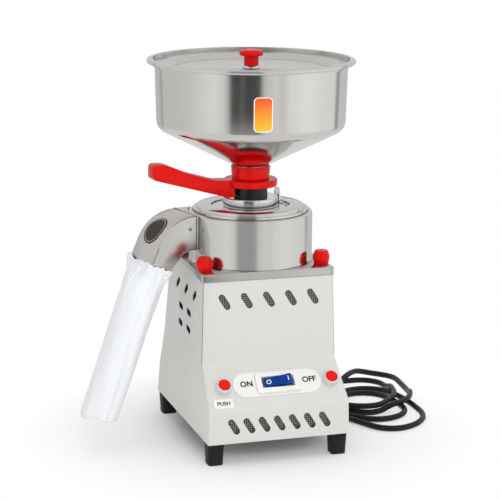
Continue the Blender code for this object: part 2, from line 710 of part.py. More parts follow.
def shell_cutters():
    """Slots, switch and button holes, and the cable hole, as cutters."""
    tools = []
    reach = SKIRT_FRONT - CONTROL_TOP_FRONT
    _, front, _ = cabinet_at(FRONT_SLOT_Z)
    for name, outlines, depth in slots("front_slot", FRONT_SLOT_COUNT, FRONT_SLOT_PITCH,
                                       SLOT_RUN, SLOT_LEAN, 2 * OVERRUN):
        place = (0, -front + OVERRUN, FRONT_SLOT_Z)
        tools.append(flat(name, outlines, depth, location=place, rotation=FACING_FRONT))
    for name, outlines, depth in slots("skirt_slot", SKIRT_SLOT_COUNT, SKIRT_SLOT_PITCH,
                                       SLOT_RUN, SLOT_LEAN, 2 * OVERRUN):
        place = (0, -SKIRT_FRONT + OVERRUN, BASE_Z + SKIRT_HEIGHT / 2)
        tools.append(flat(name, outlines, depth, location=place, rotation=FACING_FRONT))
    rows = [("side_slot", SIDE_SLOT_COUNT, SIDE_SLOT_PITCH, SIDE_SLOT_RUN, SIDE_SLOT_LEAN, 0, FRONT_SLOT_Z)]
    for row in range(2):
        rows.append((f"side_short_{row + 1}", SIDE_SHORT_COUNT, SIDE_SHORT_PITCH, SIDE_SHORT_RUN,
                     SIDE_SHORT_LEAN, SIDE_SHORT_OFFSET,
                     PLATE_TOP_Z - SIDE_SHORT_DROP - row * SIDE_SHORT_ROW_PITCH))
    for name, count, pitch, run, lean, offset, height in rows:
        for slot, outlines, depth in slots(name, count, pitch, run, lean,
                                           BASE_WIDTH + 2 * OVERRUN, offset=offset):
            place = (-depth / 2, 0, height)
            tools.append(flat(slot, outlines, depth, location=place, rotation=FACING_SIDE))
    opening = rectangle(WINDOW_WIDTH + 2 * (HOUSING_WALL + SEAT), WINDOW_HEIGHT + 2 * (HOUSING_WALL + SEAT))
    tools.append(flat("switch_hole", [opening], reach, parent=CONTROLS, location=(0, 0, -reach / 2)))
    for side in (-1, 1):
        place = (side * BUTTON_SPREAD, BUTTON_DROP, 0)
        name = "button_hole_left" if side < 0 else "button_hole_right"
        tools.append(rod(name, BUSH_THREAD_RADIUS + SEAT, -OVERRUN, OVERRUN, parent=CONTROLS, location=place))
    tools.append(rod("gland_hole", GLAND_THREAD_RADIUS + SEAT, -2 * OVERRUN, 2 * OVERRUN, parent=GLAND))
    return tools


_, _, GLAND_BACK = cabinet_at(GLAND_HEIGHT)
BACK_LEAN = math.atan2(BASE_BACK - TOP_BACK, LIP_Z - BASE_Z)
GLAND = empty("gland_frame", MILL, (GLAND_X, GLAND_BACK, GLAND_HEIGHT), (BACK_LEAN - math.radians(90), 0, 0))


def tray(name, half_x, front, back, low, high, sheet, look, open_side):
    """A folded tray, open below or above."""
    tray_piece = block(name, (-half_x, -front, low), (half_x, back, high), look)
    shape = bmesh.new()
    shape.from_mesh(tray_piece.data)
    lid = [face for face in shape.faces if face.normal.z * open_side > 0.5]
    bmesh.ops.delete(shape, geom=lid, context="FACES_ONLY")
    shape.to_mesh(tray_piece.data)
    shape.free()
    bevel(tray_piece, sheet)
    solidify(tray_piece, sheet)
    return tray_piece


def top_plate():
    """The cap of the cabinet, which carries the drum above and the motor below."""
    levels = zip(cabinet_at(LIP_Z), cabinet_at(SHELL_TOP_Z))
    half_width, front, back = (max(sizes) + SEAT + PLATE_SHEET for sizes in levels)
    plate = tray("top_plate", half_width, front, back,
                 PLATE_TOP_Z - PLATE_LIP, PLATE_TOP_Z, PLATE_SHEET, STAINLESS, -1)
    boolean(plate, SHAFT_CLEARANCE)
    for tool in STUD_CLEARANCES:
        boolean(plate, tool)


def bottom_pan():
    """The floor of the cabinet, a tray inside the skirt."""
    fit = SHEET + SEAT
    slack = (BASE_WIDTH - SKIRT_TOP_WIDTH) / 2
    tray("bottom_pan", BASE_WIDTH / 2 - fit - slack, SKIRT_FRONT - fit, cabinet_at(BASE_Z + PAN_WALL)[2] - fit,
         BASE_Z + SEAT, BASE_Z + PAN_WALL, SHEET, DARK_STEEL, 1)


def feet():
    """Four tapered rubber feet under the corners."""
    x = BASE_WIDTH / 2 - FOOT_SIDE_INSET - FOOT_TOP_SIDE / 2
    ys = {"front": -SKIRT_FRONT + FOOT_FRONT_INSET + FOOT_TOP_SIDE / 2,
          "rear": BASE_BACK - FOOT_FRONT_INSET - FOOT_TOP_SIDE / 2}
    outlines = [(FOOT_BOTTOM_SIDE, 0), (FOOT_TOP_SIDE, FOOT_HEIGHT)]
    for end, y in ys.items():
        for side, sign in (("left", -1), ("right", 1)):
            sections = [[(a, b, z) for a, b in rectangle(width, width, FOOT_ROUND)] for width, z in outlines]
            smooth(loft(f"foot_{end}_{side}", sections, RUBBER, capped=True, location=(sign * x, y, 0)))


def screen(name, width, height, y, z, lean=0):
    """A thin sheet of wire mesh behind a row of slots."""
    flat(name, [rectangle(width, height)], SCREEN_SHEET, DARK_STEEL,
         location=(0, y, z), rotation=(math.radians(90) - lean, 0, 0))


def screens():
    """The mesh behind the front slots and behind the skirt's slots."""
    slot_height = SLOT_RUN * math.cos(SLOT_LEAN) + SLOT_WIDTH + 2 * SCREEN_BORDER
    slot_reach = SLOT_RUN * math.sin(SLOT_LEAN) + SLOT_WIDTH + 2 * SCREEN_BORDER
    front_width = (FRONT_SLOT_COUNT - 1) * FRONT_SLOT_PITCH + slot_reach
    skirt_width = (SKIRT_SLOT_COUNT - 1) * SKIRT_SLOT_PITCH + slot_reach
    _, front, _ = cabinet_at(FRONT_SLOT_Z)
    lean = math.atan2(CONTROL_TOP_FRONT - TOP_FRONT, SHELL_TOP_Z - CONTROL_TOP_Z)
    depth = (SHEET + SEAT) / math.cos(lean) + SCREEN_SHEET
    screen("front_vent_screen", front_width, slot_height, -front + depth, FRONT_SLOT_Z, lean)
    behind = SHEET + 2 * SEAT + SHEET + SCREEN_SHEET
    lift = BASE_Z + SKIRT_HEIGHT / 2
    screen("skirt_vent_screen", skirt_width, slot_height, -SKIRT_FRONT + behind + SEAT, lift)


def stud_places():
    """Where the four studs stand."""
    return {(end, side): (sx * STUD_X, sy * STUD_Y, 0)
            for end, sy in (("front", -1), ("rear", 1)) for side, sx in (("left", -1), ("right", 1))}


SHAFT_CLEARANCE = rod("shaft_clearance", SEAL_RADIUS + SEAT, MOUNT_PLATE_Z - OVERRUN, DRUM_FLOOR_Z + OVERRUN)
STUD_CLEARANCES = [
    rod(f"stud_clearance_{end}_{side}", STUD_RADIUS + SEAT, MOUNT_PLATE_Z - OVERRUN, PLATE_TOP_Z + OVERRUN,
        location=place, steps=STEPS_SMALL)
    for (end, side), place in stud_places().items()]


def studs_and_caps():
    """Stud bolts from under the mounting plate, and the red caps on their ends."""
    head_z = MOUNT_PLATE_Z - SEAT
    top = PLATE_TOP_Z + STUD_STAND_OUT
    stud = [(0, top), (STUD_RADIUS, top), (STUD_RADIUS, head_z), (STUD_HEAD_RADIUS, head_z),
            (STUD_HEAD_RADIUS, head_z - STUD_HEAD_HEIGHT), (0, head_z - STUD_HEAD_HEIGHT)]
    low = PLATE_TOP_Z + SEAT
    high = low + CAP_HEIGHT
    bore = STUD_RADIUS + SEAT
    ceiling = top + SEAT
    cap = rounded([
        (0, high - CAP_DIMPLE), (CAP_CROWN_RADIUS / 2, high), (CAP_CROWN_RADIUS, high, CAP_DIMPLE),
        (CAP_BELLY_RADIUS, high - CAP_HEIGHT / 3, CAP_WALL), (CAP_BELLY_RADIUS, low + CAP_HEIGHT / 3, CAP_WALL),
        (CAP_FOOT_RADIUS, low), (bore, low), (bore, ceiling), (0, ceiling)])
    for (end, side), place in stud_places().items():
        turned(f"mount_stud_{end}_{side}", stud, CAST, steps=STEPS_TINY, closed=False, location=place)
        turned(f"stud_cap_{end}_{side}", cap, RED, steps=STEPS_SMALL, closed=False, location=place)


def motor():
    """Mounting plate, casing, end shields, bearings and stator core."""
    half_x = TOP_WIDTH / 2 - SHEET - MOUNT_PLATE_MARGIN / 2
    half_y = TOP_FRONT - SHEET - MOUNT_PLATE_MARGIN / 2
    plate = block("motor_mount_plate", (-half_x, -half_y, MOUNT_PLATE_Z),
                  (half_x, half_y, MOUNT_PLATE_Z + MOUNT_PLATE_THICKNESS), DARK_STEEL)
    boolean(plate, SHAFT_CLEARANCE)
    for tool in STUD_CLEARANCES:
        boolean(plate, tool)
    pocket = BEARING_RADIUS + SEAT
    for name, low in (("motor_top_shield", TOP_SHIELD_Z), ("motor_bottom_shield", BOTTOM_SHIELD_Z)):
        ring(name, pocket, MOTOR_RADIUS, low, low + SHIELD_THICKNESS, CAST, edge=FOLD_RADIUS, steps=STEPS_FINE)
    for name, low in (("top_bearing", TOP_BEARING_Z), ("bottom_bearing", BOTTOM_BEARING_Z)):
        ring(name, SHAFT_RADIUS + SEAT, BEARING_RADIUS, low, low + BEARING_WIDTH, POLISHED, steps=STEPS_FINE)
    inner = MOTOR_RADIUS - MOTOR_WALL
    ring("motor_casing", inner, MOTOR_RADIUS, CASING_Z, CASING_Z + CASING_LENGTH, CAST, steps=STEPS_FINE)
    ring("stator_core", ROTOR_RADIUS + AIR_GAP, inner - SEAT, CORE_Z, CORE_Z + CORE_LENGTH, DARK_STEEL,
         steps=STEPS_FINE)


def paddle(hub, reach, blade, count):
    """A hub outline with straight radial blades."""
    points = []
    for index in range(count):
        turn = Matrix.Rotation(math.tau * index / count, 2)
        gap = Matrix.Rotation(math.tau * (index + 0.5) / count, 2)
        root = math.sqrt(hub ** 2 - (blade / 2) ** 2)
        for x, y in ((root, -blade / 2), (reach, -blade / 2), (reach, blade / 2), (root, blade / 2)):
            points.append(tuple(turn @ Vector((x, y))))
        points.append(tuple(gap @ Vector((hub, 0))))
    return points


def drive():
    """Rotor, shaft, fan, stone carrier and runner stone, which spin together."""
    bore = SHAFT_RADIUS + SEAT
    ring("rotor_core", bore, ROTOR_RADIUS, CORE_Z, CORE_Z + CORE_LENGTH, DARK_STEEL, steps=STEPS_FINE)
    rod("main_shaft", SHAFT_RADIUS, SHAFT_Z, SHAFT_TOP_Z, POLISHED, steps=STEPS_SMALL, edge=FOLD_RADIUS)
    flat("cooling_fan", [paddle(FAN_HUB_RADIUS, FAN_RADIUS, FAN_BLADE, FAN_BLADE_COUNT),
                         circle(bore, STEPS_SMALL)], FAN_DEPTH, BLACK, location=(0, 0, FAN_Z))
    flat("stone_carrier", [paddle(CARRIER_RADIUS, SWEEPER_RADIUS, SWEEPER_WIDTH, SWEEPER_COUNT),
                           circle(bore, STEPS_SMALL)], CARRIER_THICKNESS, CAST, location=(0, 0, CARRIER_Z))
    millstone("runner_stone", RUNNER_Z, RUNNER_THICKNESS, RUNNER_Z + RUNNER_THICKNESS)


def millstone(name, low, thickness, face):
    """A ring of stone with straight furrows cut in its grinding face."""
    stone = ring(name, STONE_EYE, STONE_RADIUS, low, low + thickness, STONE, edge=FOLD_RADIUS)
    comb = bmesh.new()
    for index in range(FURROW_COUNT):
        turn = Matrix.Rotation(math.tau * index / FURROW_COUNT, 4, "Z")
        size = Vector((STONE_RADIUS, FURROW_WIDTH, 2 * FURROW_DEPTH))
        centre = Vector((STONE_EYE + STONE_RADIUS / 2 + OVERRUN, STONE_EYE - FURROW_WIDTH, face))
        place = turn @ Matrix.Translation(centre) @ Matrix.Diagonal((*size, 1))
        bmesh.ops.create_cube(comb, size=1, matrix=place)
    mesh = bpy.data.meshes.new(name + "_furrows")
    comb.to_mesh(mesh)
    comb.free()
    boolean(stone, add(name + "_furrows", mesh))


def drum():
    """The drum that houses the stones, with its beaded foot and its outlet."""
    low, high = DRUM_Z, DRUM_TOP_Z
    bead = DRUM_RADIUS + DRUM_BEAD
    profile = rounded([
        (DRUM_MOUTH_RADIUS, high), (DRUM_RADIUS, high, DRUM_SHOULDER),
        (DRUM_RADIUS, low + DRUM_BEAD_HEIGHT), (bead, low + DRUM_BEAD_HEIGHT / 2), (bead, low),
        (SEAL_RADIUS + SEAT, low), (SEAL_RADIUS + SEAT, DRUM_FLOOR_Z), (DRUM_RADIUS - DRUM_WALL, DRUM_FLOOR_Z),
        (DRUM_RADIUS - DRUM_WALL, high - DRUM_WALL), (DRUM_MOUTH_RADIUS, high - DRUM_WALL)], closed=True)
    housing = turned("drum_housing", profile, STAINLESS, steps=STEPS_LARGE)
    sill = DRUM_TOP_Z - NECK_DEPTH + 2 * SPOUT_SHEET
    half = NECK_HALF_WIDTH - 2 * SPOUT_SHEET
    hole = block("drum_outlet", (DRUM_RADIUS / 2, -half, sill),
                 (DRUM_RADIUS + OVERRUN, half, DRUM_TOP_Z - DRUM_WALL - DRUM_SHOULDER), parent=SPOUT)
    boolean(housing, hole)
    ring("shaft_seal", SHAFT_RADIUS + SEAT, SEAL_RADIUS, MOUNT_PLATE_Z, DRUM_FLOOR_Z + SEAL_STAND_OUT, BLACK,
         steps=STEPS_FINE)


SPOUT_HEADING = math.radians(180) + SPOUT_TURN
SPOUT = empty(
    "spout_frame", MILL,
    (SPOUT_OFFSET * math.sin(SPOUT_HEADING), -SPOUT_OFFSET * math.cos(SPOUT_HEADING), 0), (0, 0, SPOUT_HEADING))


def spout_side(start, lead, bend, turn, tail, share, back):
    """A point along one side of the spout's bend, by share less a distance back."""
    x, z = start
    along = share * (lead + bend * turn + tail) - back
    straight = min(along, lead)
    x += straight
    along -= straight
    arc = min(along / bend, turn)
    x += bend * math.sin(arc)
    z -= bend * (1 - math.cos(arc))
    along -= arc * bend
    return Vector((x + along * math.cos(turn), 0, z - along * math.sin(turn)))


def spout_ends(share, back=0):
    """Outer and inner points of the spout and its half width, by share of its length."""
    outer = spout_side((NECK_END + SEAT, DRUM_TOP_Z),
                       OUTER_LEAD, OUTER_BEND, OUTER_TURN, OUTER_TAIL, share, back)
    inner = spout_side((NECK_END + SEAT, DRUM_TOP_Z - NECK_DEPTH),
                       INNER_LEAD, INNER_BEND, INNER_TURN, INNER_TAIL, share, back)
    return outer, inner, NECK_HALF_WIDTH + (MOUTH_HALF_WIDTH - NECK_HALF_WIDTH) * share


def duct_section(outer, inner, half_width, corner, steps=ARC_STEPS):
    """A rounded rectangle between the outer and inner points, across the spout."""
    middle = (outer + inner) / 2
    rise = (outer - inner) / 2
    across = Vector((0, half_width, 0))
    outline = rectangle(2 * half_width, 2 * rise.length, corner, steps=steps)
    return [middle + across * (x / half_width) + rise * (y / rise.length) for x, y in outline]


def spout():
    """The neck on the drum and the bent duct in front of it."""
    sections = []
    for distance in (DRUM_RADIUS / 2, NECK_END):
        outer = Vector((distance, 0, DRUM_TOP_Z))
        sections.append(duct_section(outer, outer - Vector((0, 0, NECK_DEPTH)), NECK_HALF_WIDTH, NECK_ROUND, 1))
    neck = loft("spout_neck", sections, STAINLESS, parent=SPOUT)
    solidify(neck, SPOUT_SHEET)
    boolean(neck, rod("drum_clearance", DRUM_RADIUS + SEAT, DRUM_Z, DRUM_TOP_Z + OVERRUN, steps=STEPS_LARGE))
    shares = [index / (SPOUT_SECTIONS - 1) for index in range(SPOUT_SECTIONS)]
    elbow = loft("spout_elbow", [duct_section(*spout_ends(share), NECK_ROUND) for share in shares],
                 STAINLESS, parent=SPOUT)
    solidify(elbow, SPOUT_SHEET)
    smooth(elbow)


def cloth_sleeve():
    """The open cloth sleeve that hangs from the spout's mouth."""
    sections = []
    for back in (SLEEVE_LAP, 0):
        outer, inner, half_width = spout_ends(1, back)
        rise = (outer - inner).normalized()
        ease = rise * (SLEEVE_CLOTH + SEAT)
        sections.append(duct_section(outer + ease, inner - ease, half_width + SLEEVE_CLOTH + SEAT,
                                     NECK_ROUND + SLEEVE_CLOTH, BEND_STEPS))
    out = Vector((-rise.z, 0, rise.x)) if rise.x < 0 else Vector((rise.z, 0, -rise.x))
    depth = (outer - inner).length / 2 + SLEEVE_CLOTH + SEAT
    half_width += SLEEVE_CLOTH + SEAT
    start = (outer + inner) / 2
    end = start - out * SLEEVE_LAP + Vector((SLEEVE_REACH, 0, -SLEEVE_DROP))
    chord = end - start
    bow = Vector((-chord.z, 0, chord.x)).normalized() * SLEEVE_BOW
    middle = (start + end) / 2 + 2 * bow
    mouth = rectangle(2 * half_width, 2 * depth, NECK_ROUND + SLEEVE_CLOTH, steps=BEND_STEPS)
    for index in range(1, SLEEVE_SECTIONS):
        share = index / (SLEEVE_SECTIONS - 1)
        centre = start.lerp(middle, share).lerp(middle.lerp(end, share), share)
        along = (middle - start).lerp(end - middle, share).normalized()
        side = Vector((-along.z, 0, along.x))
        swell = min(1, share / SLEEVE_SWELL_SHARE)
        swell *= swell * (3 - 2 * swell)
        lean = rise.lerp(side, swell).normalized()
        hem = SLEEVE_HEM_TURN * max(0, 1 + (share - 1) / SLEEVE_HEM_SHARE)
        lean = lean * math.cos(hem) + along * math.sin(hem)
        section = []
        for x, y in mouth:
            angle = math.atan2(y / depth, x / half_width)
            across = x + (SLEEVE_HALF_WIDTH * math.cos(angle) - x) * swell
            rising = y + (SLEEVE_HALF_DEPTH * math.sin(angle) - y) * swell
            section.append(centre + Vector((0, across, 0)) + lean * rising)
        sections.append(section)
    sleeve = loft("cloth_sleeve", sections, CLOTH, parent=SPOUT)
    solidify(sleeve, SLEEVE_CLOTH)
    return smooth(sleeve)


def chamber_lid():
    """The drum's lid, the collar ring in its recess and the clamp tab beside it."""
    spigot = DRUM_MOUTH_RADIUS - SEAT
    bore = SLEEVE_RADIUS + FOLD_RADIUS
    profile = rounded([
        (bore, RECESS_Z), (LID_RECESS_RADIUS, RECESS_Z), (LID_RECESS_RADIUS, LID_TOP_Z),
        (LID_RADIUS, LID_TOP_Z, LID_EDGE), (LID_RADIUS, LID_Z + LID_STEP_HEIGHT),
        (LID_STEP_RADIUS, LID_Z + LID_STEP_HEIGHT), (LID_STEP_RADIUS, LID_Z), (spigot, LID_Z),
        (spigot, LID_Z - LID_SPIGOT_HEIGHT), (spigot - LID_SPIGOT_WALL, LID_Z - LID_SPIGOT_HEIGHT),
        (spigot - LID_SPIGOT_WALL, LID_Z), (bore, LID_Z)], closed=True)
    turned("chamber_lid", profile, STAINLESS, steps=STEPS_LARGE)
    ring("collar_ring", SLEEVE_RADIUS + THREAD_FIT, COLLAR_RING_RADIUS, RING_Z, RING_TOP_Z, POLISHED,
         edge=COLLAR_RING_EDGE)
    turn = (0, 0, TAB_ANGLE)
    place = (TAB_DISTANCE * math.cos(TAB_ANGLE), TAB_DISTANCE * math.sin(TAB_ANGLE), RECESS_Z + SEAT)
    outline = rounded([
        (-TAB_WIDTH / 2, 0), (TAB_WIDTH / 2, 0), (TAB_WIDTH / 2, TAB_HEIGHT, TAB_ROUND),
        (-TAB_WIDTH / 2, TAB_HEIGHT, TAB_ROUND)], closed=True)
    tab_frame = empty("tab_frame", MILL, place, turn)
    tab = flat("clamp_tab", [outline], TAB_SHEET, POLISHED, parent=tab_frame,
               location=(-TAB_FOOT, 0, 0), rotation=FACING_SIDE)
    foot = block("clamp_tab_foot", (-TAB_FOOT, -TAB_WIDTH / 2, 0), (0, TAB_WIDTH / 2, TAB_SHEET), parent=tab_frame)
    boolean(tab, foot, "UNION")


def upper_stone():
    """The stationary stone and the holder whose neck screws into the sleeve."""
    millstone("upper_stone", STATOR_Z, STATOR_THICKNESS, STATOR_Z)
    neck = SLEEVE_BORE - THREAD_FIT
    top = HOLDER_Z + HOLDER_THICKNESS
    profile = [(FEED_BORE, top + HOLDER_NECK_LENGTH), (neck, top + HOLDER_NECK_LENGTH), (neck, top),
               (HOLDER_RADIUS, top), (HOLDER_RADIUS, HOLDER_Z), (FEED_BORE, HOLDER_Z)]
    turned("stone_holder", profile, CAST)


def threaded_sleeve():
    """The black sleeve that the lever turns, held under the lid by its flange."""
    low = LID_Z - SEAT - SLEEVE_FLANGE
    profile = [(SLEEVE_BORE, SOCKET_Z - 2 * SEAT), (SLEEVE_RADIUS, SOCKET_Z - 2 * SEAT),
               (SLEEVE_RADIUS, low + SLEEVE_FLANGE), (SLEEVE_FLANGE_RADIUS, low + SLEEVE_FLANGE),
               (SLEEVE_FLANGE_RADIUS, low), (SLEEVE_BORE, low)]
    turned("threaded_sleeve", profile, BLACK)


def adjusting_lever():
    """The red lever: a ring on the sleeve and an arm that rises to its grip."""
    bore = SLEEVE_RADIUS + SEAT
    lever = ring("adjusting_lever", bore, LEVER_RING_RADIUS, LEVER_Z, LEVER_TOP_Z, RED, edge=LEVER_EDGE)
    low = LEVER_Z - ARM_BOSS_DEPTH
    tip_top = LEVER_TOP_Z + ARM_RISE
    slope = (tip_top - ARM_TIP_DEPTH - low) / (ARM_REACH - LEVER_RING_RADIUS)
    outline = rounded([
        (0, low), (LEVER_RING_RADIUS, low), (ARM_REACH, low + slope * (ARM_REACH - LEVER_RING_RADIUS), ARM_TIP_ROUND),
        (ARM_REACH, tip_top, ARM_TIP_ROUND), (ARM_REACH * 0.88, tip_top, ARM_TIP_DEPTH),
        (ARM_REACH * 0.66, LEVER_TOP_Z + ARM_RISE * 0.50, ARM_REACH / 2),
        (ARM_REACH * 0.38, LEVER_TOP_Z + ARM_RISE * 0.06, ARM_REACH / 4), (0, LEVER_TOP_Z - LEVER_EDGE)],
        closed=True)
    place = (ARM_WIDTH / 2 * math.sin(ARM_TURN), -ARM_WIDTH / 2 * math.cos(ARM_TURN), 0)
    arm = flat("lever_arm", [outline], ARM_WIDTH, location=place,
               rotation=(math.radians(90), 0, math.radians(180) + ARM_TURN))
    bevel(arm, ARM_EDGE, degrees=50)
    boolean(arm, rod("lever_relief", ARM_RELIEF_RADIUS, low - OVERRUN, LEVER_Z + LEVER_RING_HEIGHT / 2))
    boolean(lever, arm, "UNION")
    boolean(lever, rod("lever_bore", bore, low - OVERRUN, LEVER_TOP_Z + OVERRUN))


def hopper_socket():
    """The red socket on the lever that holds the hopper's neck."""
    top = SOCKET_Z + SOCKET_HEIGHT
    bore = NECK_RADIUS + SEAT
    floor = SOCKET_Z + SOCKET_FLOOR
    profile = rounded([
        (bore, top), (SOCKET_TOP_RADIUS, top, SOCKET_EDGE), (SOCKET_BOTTOM_RADIUS, SOCKET_Z),
        (SLEEVE_BORE, SOCKET_Z), (SLEEVE_BORE, floor), (bore, floor)], closed=True)
    turned("hopper_socket", profile, RED)


def hopper():
    """The steel hopper: rolled rim, ledge, wall, rounded bend, cone and neck."""
    ledge_radius = BOWL_MOUTH_RADIUS + LEDGE_WIDTH
    edge = RIM_RADIUS - HOPPER_SHEET
    top = RIM_Z - HOPPER_SHEET
    rim = rounded([
        (edge - 2 * RIM_ROLL, top - 2 * RIM_ROLL), (edge, top - 2 * RIM_ROLL, 0.95 * RIM_ROLL),
        (edge, top, 0.95 * RIM_ROLL), (ledge_radius, top), (ledge_radius, LEDGE_Z), (BOWL_MOUTH_RADIUS, LEDGE_Z)])
    wall = rounded([(BOWL_MOUTH_RADIUS, LEDGE_Z), (BOWL_RADIUS, BEND_Z, BOWL_BEND),
                    (NECK_RADIUS, CONE_Z)], steps=BEND_STEPS)
    profile = [*rim, *wall[1:], (NECK_RADIUS, NECK_Z)]
    return turned("hopper", profile, STAINLESS, steps=STEPS_LARGE, closed=False, wall=HOPPER_SHEET)


def hopper_cover():
    """The dished lid on the hopper's ledge, with its ferrule and red knob."""
    radius = BOWL_MOUTH_RADIUS + LEDGE_WIDTH - HOPPER_SHEET - COVER_CLEARANCE
    dish = COVER_Z - COVER_DROP
    shoulder = radius - COVER_BORDER
    profile = rounded([
        (0, dish), (shoulder - COVER_SLOPE_WIDTH, dish, COVER_LIP * 2), (shoulder, COVER_Z, COVER_LIP * 2),
        (radius, COVER_Z), (radius, COVER_Z - COVER_LIP)], steps=1)
    turned("hopper_lid", profile, STAINLESS, steps=STEPS_LARGE, closed=False, wall=COVER_SHEET)
    low = dish + SEAT
    ring("knob_ferrule", 0, FERRULE_RADIUS, low, low + FERRULE_HEIGHT, POLISHED, edge=LID_EDGE / 2,
         steps=STEPS_FINE)
    low += FERRULE_HEIGHT + SEAT
    neck = low + KNOB_STEM_HEIGHT
    top = neck + KNOB_HEAD_HEIGHT
    crown = KNOB_HEAD_HEIGHT * 0.45
    knob = rounded([
        (0, top), (KNOB_RADIUS * 0.6, top, KNOB_RADIUS), (KNOB_RADIUS, top - crown / 2, crown),
        (KNOB_RADIUS, neck, crown / 2), (KNOB_STEM_RADIUS, neck, crown / 2), (KNOB_STEM_RADIUS, low), (0, low)])
    turned("lid_knob", knob, RED, steps=STEPS_FINE, closed=False)


def switch():
    """Label plate, switch housing and rocker on the sloped panel."""
    body_width = WINDOW_WIDTH + 2 * HOUSING_WALL
    body_height = WINDOW_HEIGHT + 2 * HOUSING_WALL
    hole = rectangle(body_width + 2 * SEAT, body_height + 2 * SEAT)
    run = LABEL_WIDTH - LABEL_HEIGHT
    plate = [(y, x) for x, y in reversed(stadium(run, LABEL_HEIGHT, steps=STEPS_SMALL))]
    flat("switch_label_plate", [plate, hole], LABEL_SHEET, WHITE, parent=CONTROLS, location=(0, 0, SEAT))
    bezel_z = 2 * SEAT + LABEL_SHEET
    housing = flat("switch_housing", [rectangle(BEZEL_WIDTH, BEZEL_HEIGHT, BEZEL_ROUND)], BEZEL_THICKNESS,
                   WHITE, parent=CONTROLS, location=(0, 0, bezel_z))
    bevel(housing, BEZEL_EDGE)
    body = flat("switch_body", [rectangle(body_width, body_height)], HOUSING_DEPTH + BEZEL_THICKNESS / 2,
                parent=CONTROLS, location=(0, 0, bezel_z - HOUSING_DEPTH))
    boolean(housing, body, "UNION")
    cavity = flat("switch_cavity", [rectangle(WINDOW_WIDTH, WINDOW_HEIGHT)], HOUSING_DEPTH + BEZEL_THICKNESS,
                  parent=CONTROLS, location=(0, 0, bezel_z - HOUSING_DEPTH + HOUSING_FLOOR))
    boolean(housing, cavity)
    half = ROCKER_LENGTH / 2
    lift = half * math.tan(ROCKER_VEE)
    outline = rounded([
        (-half, ROCKER_CROWN + lift, ROCKER_EDGE), (-half, -ROCKER_DEPTH / 2, ROCKER_EDGE), (0, -ROCKER_DEPTH),
        (half, -ROCKER_DEPTH / 2, ROCKER_EDGE), (half, ROCKER_CROWN + lift, ROCKER_EDGE), (0, ROCKER_CROWN)],
        closed=True)
    width = WINDOW_HEIGHT - 2 * ROCKER_SIDE_GAP
    pivot_z = bezel_z + BEZEL_THICKNESS - ROCKER_PIVOT_DROP
    pivot = empty("rocker_pivot", CONTROLS, (0, 0, pivot_z), (0, -ROCKER_TILT, 0))
    rocker = flat("switch_rocker", [outline], width, BLUE, parent=pivot, location=(0, width / 2, 0),
                  rotation=FACING_FRONT)
    reach = WINDOW_HEIGHT / 2 - ROCKER_PIN_GAP
    pin = rod("rocker_pin", ROCKER_PIN_RADIUS, -reach, reach, parent=pivot, rotation=FACING_FRONT)
    boolean(rocker, pin, "UNION")


def push_buttons():
    """Two sprung red buttons in threaded bushes."""
    bore = BUTTON_RADIUS + BUTTON_FIT
    floor = -BUSH_DEPTH + BUSH_FLOOR
    bush = rounded([
        (0, floor), (bore, floor), (bore, BUSH_HEIGHT), (BUSH_RADIUS, BUSH_HEIGHT, BUSH_EDGE),
        (BUSH_RADIUS, SEAT), (BUSH_THREAD_RADIUS, SEAT), (BUSH_THREAD_RADIUS, -BUSH_DEPTH), (0, -BUSH_DEPTH)])
    top = BUSH_HEIGHT + BUTTON_PROUD
    cap = rounded([(0, top), (BUTTON_RADIUS, top - BUTTON_DOME / 2, BUTTON_DOME),
                   (BUTTON_RADIUS, top - BUTTON_LENGTH), (0, top - BUTTON_LENGTH)])
    for side, sign in (("left", -1), ("right", 1)):
        place = (sign * BUTTON_SPREAD, BUTTON_DROP, 0)
        turned(f"button_bush_{side}", bush, POLISHED, steps=STEPS_SMALL, closed=False,
               parent=CONTROLS, location=place)
        turned(f"button_cap_{side}", cap, RED, steps=STEPS_SMALL, closed=False, parent=CONTROLS, location=place)


def electrics():
    """Start capacitor in its cup, terminal block and cable gland."""
    floor = BASE_Z + SEAT + SHEET + SEAT
    place = (CAPACITOR_X, CAPACITOR_Y, floor)
    outer = CAPACITOR_RADIUS + SEAT + CUP_WALL
    cup = [(0, CUP_WALL), (outer - CUP_WALL, CUP_WALL), (outer - CUP_WALL, CUP_HEIGHT), (outer, CUP_HEIGHT),
           (outer, 0), (0, 0)]
    turned("capacitor_cup", cup, BLACK, closed=False, location=place, steps=STEPS_SMALL)
    low = CUP_WALL + SEAT
    rod("start_capacitor", CAPACITOR_RADIUS, low, low + CAPACITOR_LENGTH, WHITE, edge=FOLD_RADIUS,
        location=place, steps=STEPS_SMALL)
    size = Vector(TERMINAL_SIZE)
    block("terminal_block", (-size.x / 2, -size.y / 2, 0), (size.x / 2, size.y / 2, size.z), BLACK,
          location=(TERMINAL_X, TERMINAL_Y, floor))
    gland = rounded([
        (0, GLAND_LENGTH), (GLAND_TIP_RADIUS, GLAND_LENGTH, SHEET), (GLAND_NECK_RADIUS, SEAT + GLAND_FLANGE),
        (GLAND_FLANGE_RADIUS, SEAT + GLAND_FLANGE, SHEET), (GLAND_FLANGE_RADIUS, SEAT),
        (GLAND_THREAD_RADIUS, SEAT), (GLAND_THREAD_RADIUS, -GLAND_INSIDE), (0, -GLAND_INSIDE)])
    turned("cable_gland", gland, BLACK, steps=STEPS_SMALL, closed=False, parent=GLAND)


